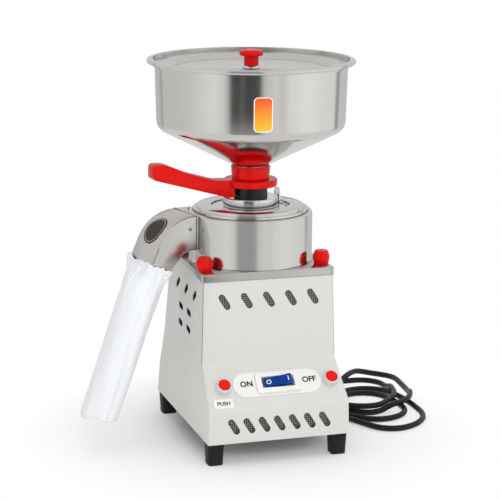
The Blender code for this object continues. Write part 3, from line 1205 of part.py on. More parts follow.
def smooth_curve(points, count):
    """Points on a smooth curve through the given ones, closer together in its bends."""
    points = [Vector(point) for point in points]
    padded = [2 * points[0] - points[1], *points, 2 * points[-1] - points[-2]]
    dense = []
    for a, b, c, d in zip(padded, padded[1:], padded[2:], padded[3:]):
        knots = [0]
        for first, second in ((a, b), (b, c), (c, d)):
            knots.append(knots[-1] + math.sqrt((second - first).length))
        k0, k1, k2, k3 = knots
        for step in range(STEPS_FINE):
            t = k1 + (k2 - k1) * step / STEPS_FINE
            ab = a.lerp(b, (t - k0) / (k1 - k0))
            bc = b.lerp(c, (t - k1) / (k2 - k1))
            cd = c.lerp(d, (t - k2) / (k3 - k2))
            abc = ab.lerp(bc, (t - k0) / (k2 - k0))
            bcd = bc.lerp(cd, (t - k1) / (k3 - k1))
            dense.append(abc.lerp(bcd, (t - k1) / (k2 - k1)))
    dense.append(points[-1])
    efforts = [0]
    for a, b, c in zip(dense, dense[1:], dense[2:]):
        efforts.append(efforts[-1] + (b - a).angle(c - b) + (b - a).length * CORD_STRAIGHT_SHARE)
    chosen = [dense[0]]
    for place, effort in zip(dense[1:], efforts):
        if effort >= efforts[-1] * len(chosen) / (count - 1) and len(chosen) < count - 1:
            chosen.append(place)
    return [*chosen, dense[-1]]


def power_cord():
    """The mains cord, three loose loops on the worktop beside the cabinet."""
    along = Vector((0, math.cos(BACK_LEAN), math.sin(BACK_LEAN)))
    mouth = Vector((GLAND_X, GLAND_BACK, GLAND_HEIGHT)) + along * (GLAND_LENGTH + GLAND_GAP)
    curve = bpy.data.curves.new("power_cord", "CURVE")
    curve.dimensions = "3D"
    curve.bevel_depth = CORD_DIAMETER / 2
    curve.bevel_resolution = 2
    curve.use_fill_caps = True
    curve.render_resolution_u = 0
    route = smooth_curve([mouth, mouth + along * GLAND_LEAD, *CORD_ROUTE], CORD_POINTS)
    spline = curve.splines.new("POLY")
    spline.points.add(len(route) - 1)
    for point, place in zip(spline.points, route):
        point.co = (*place, 1)
    cord = bpy.data.objects.new("power_cord", curve)
    cord.parent = MILL
    PARTS.objects.link(cord)
    finish(cord, RUBBER)
    return route


def power_plug(route):
    """A round plug with three pins at the end of the cord."""
    direction = (route[-1] - route[-2]).normalized()
    turn = direction.to_track_quat("Z", "Y").to_euler()
    frame = empty("plug_frame", MILL, route[-1], turn)
    profile = rounded([
        (0, PLUG_LENGTH), (PLUG_FACE_RADIUS, PLUG_LENGTH, PLUG_EDGE),
        (PLUG_FACE_RADIUS, PLUG_LENGTH * 0.62, PLUG_FACE_RADIUS), (PLUG_BACK_RADIUS, SEAT), (0, SEAT)])
    plug = turned("power_plug", profile, BLACK, steps=STEPS_SMALL, closed=False, parent=frame)
    for index in range(3):
        radius = EARTH_PIN_RADIUS if index == 0 else PIN_RADIUS
        length = EARTH_PIN_LENGTH if index == 0 else PIN_LENGTH
        angle = math.tau * index / 3
        place = (PIN_CIRCLE * math.sin(angle), PIN_CIRCLE * math.cos(angle), 0)
        pin = rod(f"plug_pin_{index + 1}", radius, PLUG_LENGTH - PLUG_EDGE, PLUG_LENGTH + length,
                  parent=frame, location=place, steps=STEPS_TINY)
        boolean(plug, pin, "UNION")


def centre_origin(sleeve):
    """Moves the mill sideways, so that the origin lies under the middle of its box."""
    bpy.context.view_layer.update()
    left = min((sleeve.matrix_world @ vert.co).x for vert in sleeve.data.vertices)
    MILL.location.x = -(left + RIM_RADIUS) / 2


cabinet_shell()
top_plate()
bottom_pan()
feet()
screens()
studs_and_caps()
motor()
drive()
drum()
spout()
SLEEVE = cloth_sleeve()
chamber_lid()
upper_stone()
threaded_sleeve()
adjusting_lever()
hopper_socket()
hopper()
hopper_cover()
switch()
push_buttons()
electrics()
power_plug(power_cord())
centre_origin(SLEEVE)
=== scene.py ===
import json
import math

import bmesh
import bpy
from mathutils import Euler, Matrix, Vector, noise
from mathutils.bvhtree import BVHTree

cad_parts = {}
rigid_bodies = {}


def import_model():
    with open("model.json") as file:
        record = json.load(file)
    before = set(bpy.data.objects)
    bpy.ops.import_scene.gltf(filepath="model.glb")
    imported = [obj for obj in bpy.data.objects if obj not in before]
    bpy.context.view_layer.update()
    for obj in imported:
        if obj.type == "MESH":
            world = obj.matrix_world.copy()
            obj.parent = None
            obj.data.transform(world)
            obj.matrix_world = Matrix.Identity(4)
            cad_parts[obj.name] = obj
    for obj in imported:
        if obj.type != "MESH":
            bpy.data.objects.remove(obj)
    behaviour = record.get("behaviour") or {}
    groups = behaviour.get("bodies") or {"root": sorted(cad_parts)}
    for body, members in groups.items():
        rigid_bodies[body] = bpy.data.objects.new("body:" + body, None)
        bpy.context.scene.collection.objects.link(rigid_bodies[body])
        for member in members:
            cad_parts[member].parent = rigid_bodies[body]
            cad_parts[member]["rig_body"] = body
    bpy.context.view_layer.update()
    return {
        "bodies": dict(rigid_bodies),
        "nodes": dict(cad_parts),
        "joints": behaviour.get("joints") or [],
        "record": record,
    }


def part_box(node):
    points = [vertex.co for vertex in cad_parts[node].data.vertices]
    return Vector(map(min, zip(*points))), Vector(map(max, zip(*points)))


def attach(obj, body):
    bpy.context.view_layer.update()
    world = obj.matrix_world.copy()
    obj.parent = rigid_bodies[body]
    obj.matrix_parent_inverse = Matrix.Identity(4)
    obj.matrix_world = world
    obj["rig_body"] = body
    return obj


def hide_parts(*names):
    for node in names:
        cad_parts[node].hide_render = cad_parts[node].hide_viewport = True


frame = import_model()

NODES = frame["nodes"]

# The mill's upright axis, which the drum stands on
DRUM_LOW, DRUM_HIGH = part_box("drum_housing")
AXIS = Vector(((DRUM_LOW.x + DRUM_HIGH.x) / 2, (DRUM_LOW.y + DRUM_HIGH.y) / 2, 0))

# Camera: seen from the left of the front and a little above
CAMERA_TURN = math.radians(-17.4)
CAMERA_RISE = math.radians(12.65)
CAMERA_ROLL = math.radians(0.4)
CAMERA_DISTANCE = 2.693
CAMERA_LENS = 132.44
CAMERA_AIM = 0.2764

# Sheet-metal cabinet: the heights, widths and fronts that its details follow
SKIRT_TOP_Z = 0.082
CONTROL_TOP_Z = 0.134
PLATE_TOP_Z = 0.266
CONTROL_TOP_WIDTH = 0.199
TOP_WIDTH = 0.192
LIP_Z = 0.2542
SKIRT_FRONT = 0.1465
CONTROL_TOP_FRONT = 0.0945
TOP_FRONT = 0.0907

# Control panel: the switch's distance from the mill's axis, and what is printed beside it
CONTROL_OFFSET = 0.0040
BUTTON_SPREAD = 0.0800
LABEL_TOP = 0.0012
ON_OFFSET = 0.0455
OFF_OFFSET = 0.0480
WORD_RISE = 0.0015
WORD_SIZE = 0.0118
CARD_WIDTH = 0.0275
CARD_HEIGHT = 0.0136
CARD_DROP = 0.0258
CARD_OFFSET = 0.0045
CARD_CORNER = 0.0008
CARD_WORD_SIZE = 0.0082
LETTER_WEIGHT_SHARE = 0.028
MARK_OFFSET = 0.0135
MARK_RADIUS = 0.0036
MARK_LINE = 0.0012
MARK_SINK = 0.0003
PRINT_HEIGHT = 0.00015
PAPER_HEIGHT = 0.0003
PAPER_SINK = 0.0002
ABOVE_ROCKER = 0.04

# Woven wire behind the slots, and a dark sheet behind it that paints the shade inside the cabinet
WIRE_PITCH = 0.0029
WIRE_RADIUS = 0.00048
WIRE_DEPTH = 0.0009
SHADE_SHEET_DEPTH = 0.0040
SHADE_SHEET_THICKNESS = 0.0003
SHADE_SHEET_CORNER = 0.0020

# Stand-ins: points this near are joined, faces this even are one, edges this sharp stay crisp
WELD = 0.00001
FLAT_ANGLE = math.radians(0.6)
SHARP_ANGLE = math.radians(33)

# Fine dark lines where sheets meet: how thick they are and how far they stand off the sheet
SEAM_RADIUS = 0.0003
LIP_SEAM_RADIUS = 0.0002
# The line under the top plate's lip marks its joint and is painted shadow of the lip
LIP_SHADOW_RADIUS = 0.0004
LINE_LIFT = 0.0003
CORNER_SEAM_TUCK = 0.0016
CORNER_SEAM_LIFT = 0.00005
CORNER_SEAM_LOW = 0.001
CORNER_SEAM_HIGH = 0.012
CORNER_SEAM_STEPS = 4
LIP_SEAM_TUCK = 0.0018
LIP_SEAM_LIFT = 0.00185
LIP_SEAM_HEIGHTS = (0.2556, 0.2600, 0.2650)
# How far back along the sides the painted shadow line under the lip runs
LIP_SHADOW_BACK = 0.0025
SIDES = ((-1, "left"), (1, "right"))

# Back: bare rating plate and the screws that hold the back
BACK_PLATE_WIDTH = 0.062
BACK_PLATE_HEIGHT = 0.038
BACK_PLATE_Z = 0.170
BACK_PLATE_X = -0.02
BACK_PLATE_CORNER = 0.003
BACK_PLATE_THICKNESS = 0.0005
PLATE_SCREW_INSET = 0.004
PLATE_SCREW_RADIUS = 0.0016
BACK_SCREW_X = 0.078
BACK_SCREW_LOW_Z = 0.048
BACK_SCREW_HIGH_Z = 0.240
SCREW_RADIUS = 0.0026
BEHIND_MILL = 0.4

# Drum lid
LID_TOP_Z = 0.3457
LID_GAP = (0.0842, 0.0001, 0.00045)
# Painted shade: a dark ring at the foot of the lid's recess, by radius, lift and thickness
RECESS_SHADE = (0.0573, -0.0024, 0.0007)
LID_SCREW_DISTANCE = 0.0520
LID_SCREW_TURN = math.radians(74)
LID_SCREW_RADIUS = 0.0024
RING_STEPS = 96
ABOVE_LID_Z = 0.4

# Round badge on the spout's roof and the sticker on the hopper
BADGE_RADIUS = 0.0225
BADGE_SHARE = 0.50
BADGE_STEP = 0.0005
BADGE_SINK = 0.0001
BADGE_CENTRE_HOLE = 0.0002
STICKER_WIDTH = 0.024
STICKER_HEIGHT = 0.046
STICKER_TURN = math.radians(-10.3)
STICKER_Z = 0.496
STICKER_BORDER = 0.0012
STICKER_CORNER = 0.0050
STICKER_ROW_SHARES = (1.0, 1.0, 0.66, 0.33, 0.02)
WALL_FOOT_Z = 0.4665
WALL_RISE = 0.082
WALL_FOOT_RADIUS = 0.1362
WALL_HEAD_RADIUS = 0.1388

# Spout: a bent duct off the side of the drum, and the sleeve on its mouth
SPOUT_TURN = math.radians(12.5)
SPOUT_OFFSET = 0.0265
NECK_END = 0.0942
NECK_DEPTH = 0.0502
NECK_HALF_WIDTH = 0.0355
MOUTH_HALF_WIDTH = 0.0340
DRUM_TOP_Z = 0.3375
NECK_CORNER = 0.0025
JOINT_BAND = ((0.0908, -0.0002), (0.0909, 0.0006), (0.0937, 0.0006), (0.0938, -0.0002))
JOINT_LINE_X = 0.0941
JOINT_LINE_RADIUS = 0.00032
SPOUT_SCREW_X = 0.1040
SPOUT_SCREW_Z = 0.3195
SPOUT_SCREW_RADIUS = 0.0030
BESIDE_SPOUT = 0.06
SPOUT_SEAM_SHARES = (0.70, 0.22)
SPOUT_SEAM_STEPS = 12
SPOUT_SEAM_DROP = 0.0022
SPOUT_SEAM_LIFT = 0.0001
OUTER_SIDE = (0.0010, 0.0640, math.radians(65.0), 0.0355)
INNER_SIDE = (0.0055, 0.0220, math.radians(49.0), 0.0335)
CLOTH = 0.0008
SLEEVE_LAP = 0.0090
SLEEVE_TOP = (0.0345, 0.0262)
SLEEVE_HEM = (0.0335, 0.0230)
SLEEVE_SWELL = 0.024
SLEEVE_REACH = 0.0843
SLEEVE_DROP = 0.2168
SLEEVE_ROWS = 120
SLEEVE_COLUMNS = 160
CORNER_SHARE = 0.97
LAP_FLARE_SHARE = 0.10
HEM_START_SHARE = 0.86
HEM_SHARE = 0.14

# Creases of the sleeve: pleats at the band, then loose folds with one ridge and one hollow
PLEATS = ((23, 0.0009, 0.3), (37, 0.0006, 1.9), (11, 0.0010, 4.1))
PLEAT_REACH = 0.028
PLEAT_WANDER = 2.2
LAP_PLEAT_SHARE = 0.9
LAP_LIFT = 0.0004
LOOSE_REACH = 0.05
FOLD_DEPTH = 0.0022
CRUMPLE_DEPTH = 0.0005
FOLD_TURN = 0.073
FOLD_SWAY = 0.012
FOLD_SWAY_RATE = 26
RIDGE_HEIGHT = 0.0022
RIDGE_WIDTH = 0.022
HOLLOW_DEPTH = 0.0020
HOLLOW_WIDTH = 0.035
HOLLOW_OFFSET = 0.055

# Mains cord
CORD_DIAMETER = 0.0090
CORD_LEAD = 0.0090
CORD_MOUTH = (0.0550, 0.1661, 0.0672)
BACK_LEAN = math.radians(12.0)
CORD_SMOOTH_STEPS = 8

# The cord's route from the gland to the plug; x and y from the mill's axis
CORD_ROUTE = [
    (0.0550, 0.2050, 0.0652), (0.0578, 0.2207, 0.0555), (0.0658, 0.2346, 0.0443), (0.0780, 0.2448, 0.0326),
    (0.0930, 0.2503, 0.0212), (0.1090, 0.2503, 0.0119), (0.1240, 0.2448, 0.0069), (0.1362, 0.2346, 0.0051),
    (0.1442, 0.2207, 0.0047), (0.1470, 0.2050, 0.0047), (0.1468, 0.1800, 0.0047), (0.1460, 0.1500, 0.0047),
    (0.1448, 0.1200, 0.0047), (0.1445, 0.0900, 0.0047), (0.1445, 0.0650, 0.0047), (0.1466, 0.0400, 0.0047),
    (0.1540, 0.0110, 0.0047), (0.1640, -0.0105, 0.0047), (0.1725, -0.0286, 0.0047), (0.1804, -0.0450, 0.0047),
    (0.1879, -0.0558, 0.0047), (0.1987, -0.0633, 0.0047), (0.2115, -0.0668, 0.0047),
    (0.2246, -0.0656, 0.0047), (0.2398, -0.0590, 0.0047), (0.2507, -0.0514, 0.0047),
    (0.2676, -0.0312, 0.0047), (0.2766, -0.0064, 0.0047), (0.2788, 0.0200, 0.0047), (0.2788, 0.0450, 0.0047),
    (0.2763, 0.0763, 0.0047), (0.2690, 0.1068, 0.0047), (0.2605, 0.1222, 0.0047), (0.2483, 0.1324, 0.0047),
    (0.2333, 0.1379, 0.0047), (0.2173, 0.1379, 0.0047), (0.2035, 0.1332, 0.0047), (0.1866, 0.1217, 0.0047),
    (0.1682, 0.1033, 0.0047), (0.1591, 0.0860, 0.0047), (0.1550, 0.0668, 0.0047), (0.1550, 0.0500, 0.0047),
    (0.1580, 0.0360, 0.0047), (0.1665, 0.0155, 0.0047), (0.1752, 0.0010, 0.0047), (0.1838, -0.0090, 0.0047),
    (0.1958, -0.0160, 0.0047), (0.2095, -0.0184, 0.0047), (0.2266, -0.0154, 0.0047),
    (0.2416, -0.0067, 0.0047), (0.2528, 0.0066, 0.0047), (0.2587, 0.0229, 0.0047), (0.2595, 0.0430, 0.0047),
    (0.2577, 0.0665, 0.0047), (0.2522, 0.0894, 0.0047), (0.2448, 0.1027, 0.0047), (0.2342, 0.1116, 0.0047),
    (0.2211, 0.1164, 0.0047), (0.2073, 0.1164, 0.0047), (0.1942, 0.1116, 0.0047), (0.1798, 0.0995, 0.0047),
    (0.1705, 0.0833, 0.0047), (0.1672, 0.0620, 0.0047), (0.1699, 0.0450, 0.0047), (0.1775, 0.0317, 0.0047),
    (0.1892, 0.0219, 0.0047), (0.2036, 0.0167, 0.0049), (0.2190, 0.0163, 0.0071), (0.2299, 0.0180, 0.0112),
    (0.2420, 0.0214, 0.0139), (0.2562, 0.0281, 0.0143), (0.2686, 0.0377, 0.0143), (0.2792, 0.0519, 0.0143),
    (0.2853, 0.0645, 0.0142), (0.2905, 0.0774, 0.0130), (0.2949, 0.0907, 0.0095), (0.2982, 0.1042, 0.0059),
    (0.3018, 0.1284, 0.0047), (0.3039, 0.1523, 0.0047), (0.3055, 0.1702, 0.0047), (0.3043, 0.1836, 0.0047),
    (0.2986, 0.1957, 0.0047), (0.2892, 0.2051, 0.0050), (0.2771, 0.2109, 0.0064), (0.2637, 0.2120, 0.0094),
    (0.2508, 0.2085, 0.0126), (0.2404, 0.2013, 0.0140), (0.2260, 0.1874, 0.0142), (0.2116, 0.1735, 0.0114),
    (0.2000, 0.1623, 0.0059), (0.1900, 0.1523, 0.0047), (0.1819, 0.1434, 0.0051), (0.1768, 0.1350, 0.0071),
    (0.1723, 0.1268, 0.0102), (0.1686, 0.1178, 0.0130), (0.1658, 0.1088, 0.0142), (0.1624, 0.0899, 0.0142),
    (0.1612, 0.0750, 0.0136), (0.1610, 0.0620, 0.0129), (0.1634, 0.0463, 0.0132), (0.1704, 0.0343, 0.0139),
    (0.1810, 0.0254, 0.0143), (0.1941, 0.0206, 0.0144), (0.2079, 0.0206, 0.0142), (0.2210, 0.0254, 0.0140),
    (0.2340, 0.0364, 0.0140), (0.2463, 0.0487, 0.0142), (0.2574, 0.0632, 0.0143), (0.2644, 0.0801, 0.0143),
    (0.2689, 0.0996, 0.0142), (0.2715, 0.1133, 0.0128), (0.2732, 0.1272, 0.0086), (0.2740, 0.1446, 0.0048),
    (0.2717, 0.1608, 0.0047), (0.2652, 0.1721, 0.0047), (0.2553, 0.1805, 0.0047), (0.2430, 0.1849, 0.0047),
    (0.2280, 0.1856, 0.0047), (0.2050, 0.1846, 0.0047), (0.1840, 0.1840, 0.0047), (0.1745, 0.1838, 0.0059),
    (0.1650, 0.1838, 0.0094), (0.1555, 0.1840, 0.0130), (0.1460, 0.1844, 0.0143), (0.1365, 0.1848, 0.0130),
    (0.1270, 0.1854, 0.0094), (0.1175, 0.1860, 0.0059), (0.1080, 0.1866, 0.0047), (0.0600, 0.1885, 0.0047),
    (0.0320, 0.1880, 0.0054), (0.0080, 0.1870, 0.0088), (-0.0120, 0.1860, 0.0132), (-0.0260, 0.1860, 0.0162),
]


def smooth(piece, angle=math.pi):
    """Round shading, with the edges that turn by more than the angle kept crisp."""
    shape = bmesh.new()
    shape.from_mesh(piece.data)
    for face in shape.faces:
        face.smooth = True
    for edge in shape.edges:
        edge.smooth = edge.calc_face_angle(0) < angle
    shape.to_mesh(piece.data)
    shape.free()
    return piece


def fine(name, look, edge):
    """A stand-in for a CAD node with round shading and slightly rounded edges."""
    node = NODES[name]
    shape = bmesh.new()
    shape.from_mesh(node.data)
    bmesh.ops.remove_doubles(shape, verts=shape.verts, dist=WELD)
    if edge:
        bmesh.ops.dissolve_limit(shape, angle_limit=FLAT_ANGLE, verts=shape.verts, edges=shape.edges)
    mesh = bpy.data.meshes.new(name + "_fine")
    shape.to_mesh(mesh)
    shape.free()
    piece = smooth(add_piece(name + "_fine", mesh, look, node["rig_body"]), SHARP_ANGLE)
    if edge:
        modifier = piece.modifiers.new("edges", "BEVEL")
        modifier.width = edge
        modifier.segments = 2
        modifier.limit_method = "ANGLE"
        modifier.angle_limit = SHARP_ANGLE
        modifier.harden_normals = True
    stand_in(piece, name)


def add_object(name, data):
    """An object in the scene."""
    thing = bpy.data.objects.new(name, data)
    bpy.context.scene.collection.objects.link(thing)
    return thing


def add_piece(name, data, look, body="mill"):
    """A piece in the scene, made of a mesh or a curve, that rides on a body."""
    piece = add_object(name, data)
    data.materials.append(look)
    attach(piece, body)
    return piece


def stand_in(piece, node):
    """Shows a piece in place of a CAD node."""
    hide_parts(node)


def grid_mesh(name, rows, caps=False):
    """A mesh through rows of points, each row a closed ring."""
    count = len(rows[0])
    points = [point for row in rows for point in row]
    faces = []
    for i in range(len(rows) - 1):
        for j in range(count):
            a, b = i * count + j, i * count + (j + 1) % count
            faces.append((a, b, b + count, a + count))
    if caps:
        faces += [tuple(reversed(range(count))), tuple(range(len(points) - count, len(points)))]
    mesh = bpy.data.meshes.new(name)
    mesh.from_pydata(points, [], faces)
    mesh.update()
    return mesh


def loft(name, rows, look, body="mill", caps=True):
    """A piece through rows of points, with its sharp edges kept crisp."""
    return smooth(add_piece(name, grid_mesh(name, rows, caps), look, body), SHARP_ANGLE)


def circle(radius, height, steps):
    """Points round a circle about the z axis."""
    turns = [math.tau * i / steps for i in range(steps)]
    return [Vector((radius * math.cos(turn), radius * math.sin(turn), height)) for turn in turns]


def lathe(name, profile, look, frame, body="mill", steps=40, hollow=False):
    """A turned piece from a profile of radius and height, in a frame with z as its axis."""
    rows = [[frame @ point for point in circle(radius, height, steps)] for radius, height in profile]
    if hollow:
        rows.append(rows[0])
    loft(name, rows, look, body, caps=not hollow)


def prism(name, outline, low, high, look, frame, body="mill"):
    """A flat plate with the given outline, in a frame with z as its thickness."""
    rows = [[frame @ Vector((x, y, height)) for x, y in outline] for height in (low, high)]
    loft(name, rows, look, body)


def rounded(width, height, radius, steps=6):
    """The outline of a rectangle with round corners, turning left."""
    outline = []
    for quarter, (sx, sy) in enumerate(((1, 1), (-1, 1), (-1, -1), (1, -1))):
        for step in range(steps + 1):
            angle = math.pi / 2 * (quarter + step / steps)
            outline.append((sx * (width / 2 - radius) + radius * math.cos(angle),
                            sy * (height / 2 - radius) + radius * math.sin(angle)))
    return outline


def facing(place, normal, right=(1, 0, 0)):
    """A frame at a place: z along the normal and x as near to the given way as it can be."""
    ahead = Vector(normal).normalized()
    up = ahead.cross(Vector(right)).normalized()
    return Matrix.Translation(place) @ Matrix((up.cross(ahead), up, ahead)).transposed().to_4x4()


def landing(node, start, way, right=(1, 0, 0)):
    """The frame where a straight line first meets a CAD node."""
    data = NODES[node].data
    places = [vertex.co for vertex in data.vertices]
    tree = BVHTree.FromPolygons(places, [face.vertices for face in data.polygons])
    place, normal, _, _ = tree.ray_cast(start, way)
    if place is None:
        raise ValueError("nothing of " + node + " lies there")
    return facing(place, normal, right)


def words(name, text, size, look, frame):
    """Printed letters, raised a little."""
    curve = bpy.data.curves.new(name, "FONT")
    curve.body = text
    curve.size = size
    curve.align_x = curve.align_y = "CENTER"
    curve.extrude = PRINT_HEIGHT
    curve.offset = size * LETTER_WEIGHT_SHARE
    add_piece(name, curve, look).matrix_world = frame


def screw(name, frame, radius=SCREW_RADIUS):
    """A pan-head screw with a cross recess, drawn as a dark cross: painted shade."""
    shares = [(0.94, -0.10), (1.0, 0.04), (0.98, 0.26), (0.84, 0.46), (0.55, 0.58), (0.2, 0.62)]
    lathe(name, [(radius * a, radius * b) for a, b in shares], ZINC, frame, steps=28)
    arm, width = radius * 0.52, radius * 0.14
    corner, cross = [(arm, width), (width, width), (width, arm)], []
    for _ in range(4):
        cross += corner
        corner = [(-y, x) for x, y in corner]
    # The recess is a dark cross standing a little proud of the head, painted shade in place of a hollow
    prism(name + "_recess_shade", cross, radius * 0.3, radius * 0.64, SEAM_AND_SHADE_DARK, frame)


def tube(name, points, radius, look, closed=False, steps=3):
    """A round wire through points."""
    curve = bpy.data.curves.new(name, "CURVE")
    curve.dimensions = "3D"
    curve.bevel_depth = radius
    curve.bevel_resolution = steps
    curve.use_fill_caps = True
    spline = curve.splines.new("POLY")
    spline.points.add(len(points) - 1)
    for place, point in zip(spline.points, points):
        place.co = (*point, 1)
    spline.use_cyclic_u = closed
    spline.use_smooth = True
    return add_piece(name, curve, look)


# Materials


def add_node(tree, kind, inputs=None, **settings):
    """A shader node with its settings, and its inputs linked or set by name or number."""
    node = tree.nodes.new(kind)
    for name, value in settings.items():
        setattr(node, name, value)
    for name, value in (inputs or {}).items():
        if isinstance(value, bpy.types.NodeSocket):
            tree.links.new(value, node.inputs[name])
        else:
            node.inputs[name].default_value = value
    return node


def add_math(tree, operation, a, b=0.0):
    """The result of a sum of one or two values."""
    return add_node(tree, "ShaderNodeMath", {0: a, 1: b}, operation=operation).outputs["Value"]


class Look:
    """A node material with one Principled shader."""

    def __init__(self, name, colour, roughness, metallic=0.0, **sockets):
        self.material = bpy.data.materials.new(name)
        self.material.use_nodes = True
        self.tree = self.material.node_tree
        self.shader = self.tree.nodes["Principled BSDF"]
        self.colour = (*colour, 1)
        sockets.update(base_color=self.colour, roughness=roughness, metallic=metallic)
        for name, value in sockets.items():
            self.shader.inputs[name.replace("_", " ").title().replace("Ior", "IOR")].default_value = value

    def node(self, kind, inputs=None, **settings):
        return add_node(self.tree, kind, inputs, **settings)

    def link(self, output, name):
        self.tree.links.new(output, self.shader.inputs[name])

    def place(self, scale=(1, 1, 1), origin=(0, 0, 0)):
        """Object coordinates, stretched by scale."""
        coordinates = self.node("ShaderNodeTexCoord")
        mapping = self.node("ShaderNodeMapping", {
            "Vector": coordinates.outputs["Object"], "Scale": scale,
            "Location": [-a * b for a, b in zip(origin, scale)]})
        return mapping.outputs["Vector"]

    def turned_place(self, across, along):
        """Coordinates whose grain runs round the mill's axis."""
        axes = self.node("ShaderNodeSeparateXYZ", {"Vector": self.place(origin=AXIS)})
        x, y, z = (axes.outputs[name] for name in "XYZ")
        squares = self.math("ADD", self.math("MULTIPLY", x, x), self.math("MULTIPLY", y, y))
        radius = self.math("SQRT", squares)
        angle = self.math("ARCTAN2", x, y)
        joined = self.node("ShaderNodeCombineXYZ", {
            "X": self.math("MULTIPLY", radius, across), "Y": self.math("MULTIPLY", angle, along),
            "Z": self.math("MULTIPLY", z, across)})
        return joined.outputs["Vector"]

    def math(self, operation, a, b=0.0):
        return add_math(self.tree, operation, a, b)

    def noise(self, vector, scale, detail=2.0):
        node = self.node("ShaderNodeTexNoise", {
            "Vector": vector, "Scale": scale, "Detail": detail, "Roughness": 0.6})
        return node.outputs["Fac"]

    def spread(self, value, low, high, start=0.3, end=0.7):
        """Maps a noise value to a range."""
        node = self.node("ShaderNodeMapRange", {
            "Value": value, "From Min": start, "From Max": end, "To Min": low, "To Max": high})
        return node.outputs["Result"]

    def tint(self, value, share):
        """Darkens the base colour a little where the value is low."""
        self.blend(value, [channel * (1 - share) for channel in self.colour[:3]], self.colour[:3])

    def blend(self, value, first, second):
        """Runs the base colour from one colour to another."""
        node = self.node("ShaderNodeMix", data_type="RGBA", inputs={
            "Factor": value, "A": (*first, 1), "B": (*second, 1)})
        self.link(node.outputs["Result"], "Base Color")

    def vary(self, gloss, low, high, tone, start, share):
        """Spreads the roughness by one texture and tints the colour by another."""
        self.link(self.spread(gloss, low, high), "Roughness")
        self.tint(self.spread(tone, start, 1.0), share)

    def bump(self, height, strength, distance):
        node = self.node("ShaderNodeBump", {
            "Height": height, "Strength": strength, "Distance": distance})
        self.link(node.outputs["Normal"], "Normal")


def spun_steel(name, roughness=0.14):
    """Stainless steel polished on a lathe: fine rings round the axis."""
    look = Look(name, (0.72, 0.71, 0.69), roughness, 1.0, anisotropic=0.3)
    rings = look.noise(look.turned_place(700, 1.2), 1.0, 3.0)
    clouds = look.noise(look.place(), 14.0)
    look.vary(rings, roughness - 0.02, roughness + 0.04, clouds, 0.4, 0.05)
    look.bump(rings, 0.02, 0.0001)
    tangent = look.node("ShaderNodeTangent", direction_type="RADIAL", axis="Z")
    look.link(tangent.outputs["Tangent"], "Tangent")
    return look.material


def brushed_steel(name, scale, colour, roughness):
    """Stainless sheet with a straight grain."""
    look = Look(name, colour, roughness, 1.0)
    grain = look.noise(look.place(scale), 1.0, 5.0)
    clouds = look.noise(look.place(), 18.0)
    look.vary(grain, roughness - 0.015, roughness + 0.02, clouds, 0.4, 0.05)
    look.bump(grain, 0.004, 0.0001)
    return look.material


def polished_metal(name, colour=(0.82, 0.82, 0.82), roughness=0.10):
    """Bright plated steel with faint wear."""
    look = Look(name, colour, roughness, 1.0)
    wear = look.noise(look.place(), 260.0, 3.0)
    look.vary(wear, roughness, roughness + 0.08, wear, 0.5, 0.05)
    return look.material


def satin_sheet(name):
    """The cabinet's matt steel: pale, warm and nearly even."""
    look = Look(name, (0.75, 0.74, 0.715), 0.42, 0.35, specular_ior_level=0.5)
    grain = look.noise(look.place((60, 60, 900)), 1.0, 4.0)
    clouds = look.noise(look.place(), 9.0)
    look.vary(grain, 0.38, 0.48, clouds, 0.3, 0.04)
    look.bump(grain, 0.05, 0.0002)
    return look.material


def moulded(name, colour, roughness, scale=900.0, strength=0.05, **sockets):
    """Moulded plastic or rubber with a fine skin."""
    look = Look(name, colour, roughness, **sockets)
    skin = look.noise(look.place(), scale, 3.0)
    clouds = look.noise(look.place(), 30.0)
    look.vary(clouds, roughness - 0.03, roughness + 0.05, clouds, 0.4, 0.08)
    look.bump(skin, strength, 0.0002)
    return look.material


def cast_metal(name, colour, roughness=0.5, metallic=1.0):
    """Cast or coated metal with a grainy skin."""
    look = Look(name, colour, roughness, metallic)
    skin = look.noise(look.place(), 700.0, 4.0)
    look.vary(skin, roughness - 0.08, roughness + 0.1, skin, 0.0, 0.2)
    look.bump(skin, 0.3, 0.0004)
    return look.material


def emery(name):
    """The stones' grit: pale grains in a darker bond."""
    look = Look(name, (0.66, 0.62, 0.55), 0.9)
    voronoi = look.node("ShaderNodeTexVoronoi", {"Vector": look.place(), "Scale": 500.0})
    grit = voronoi.outputs["Distance"]
    look.tint(look.spread(grit, 0.0, 1.0, 0.1, 0.7), 0.5)
    look.bump(grit, 0.6, 0.0006)
    return look.material


def layered_steel(name):
    """Stamped sheets stacked along the shaft."""
    look = Look(name, (0.35, 0.35, 0.36), 0.45, 0.9)
    wave = look.node("ShaderNodeTexWave", bands_direction="Z",
                     inputs={"Vector": look.place(), "Scale": 260.0, "Distortion": 0.4})
    look.tint(wave.outputs["Fac"], 0.4)
    look.bump(wave.outputs["Fac"], 0.4, 0.0003)
    return look.material


def woven_cloth(name):
    """Thin white cotton: a fine weave, soft creases painted a little darker in their hollows as shade, and a
    little light through it.
    """
    look = Look(name, (0.885, 0.875, 0.905), 0.85, sheen_weight=0.25, sheen_roughness=0.5,
                subsurface_weight=0.12, subsurface_scale=0.004)
    place = look.place()
    threads = [look.node("ShaderNodeTexWave", bands_direction=way,
                         inputs={"Vector": place, "Scale": 420.0, "Distortion": 0.8, "Detail": 1.0})
               for way in ("X", "Z")]
    weave = look.math("ADD", threads[0].outputs["Fac"], threads[1].outputs["Fac"])
    crease_height_and_shade = look.noise(look.place((40, 40, 14)), 1.0, 5.0)
    # The colour darkens a little where the creases sink: painted shade
    look.tint(look.spread(crease_height_and_shade, 0.5, 1.0), 0.03)
    look.bump(look.math("ADD", look.math("MULTIPLY", weave, 0.04), crease_height_and_shade), 0.35, 0.0022)
    return look.material


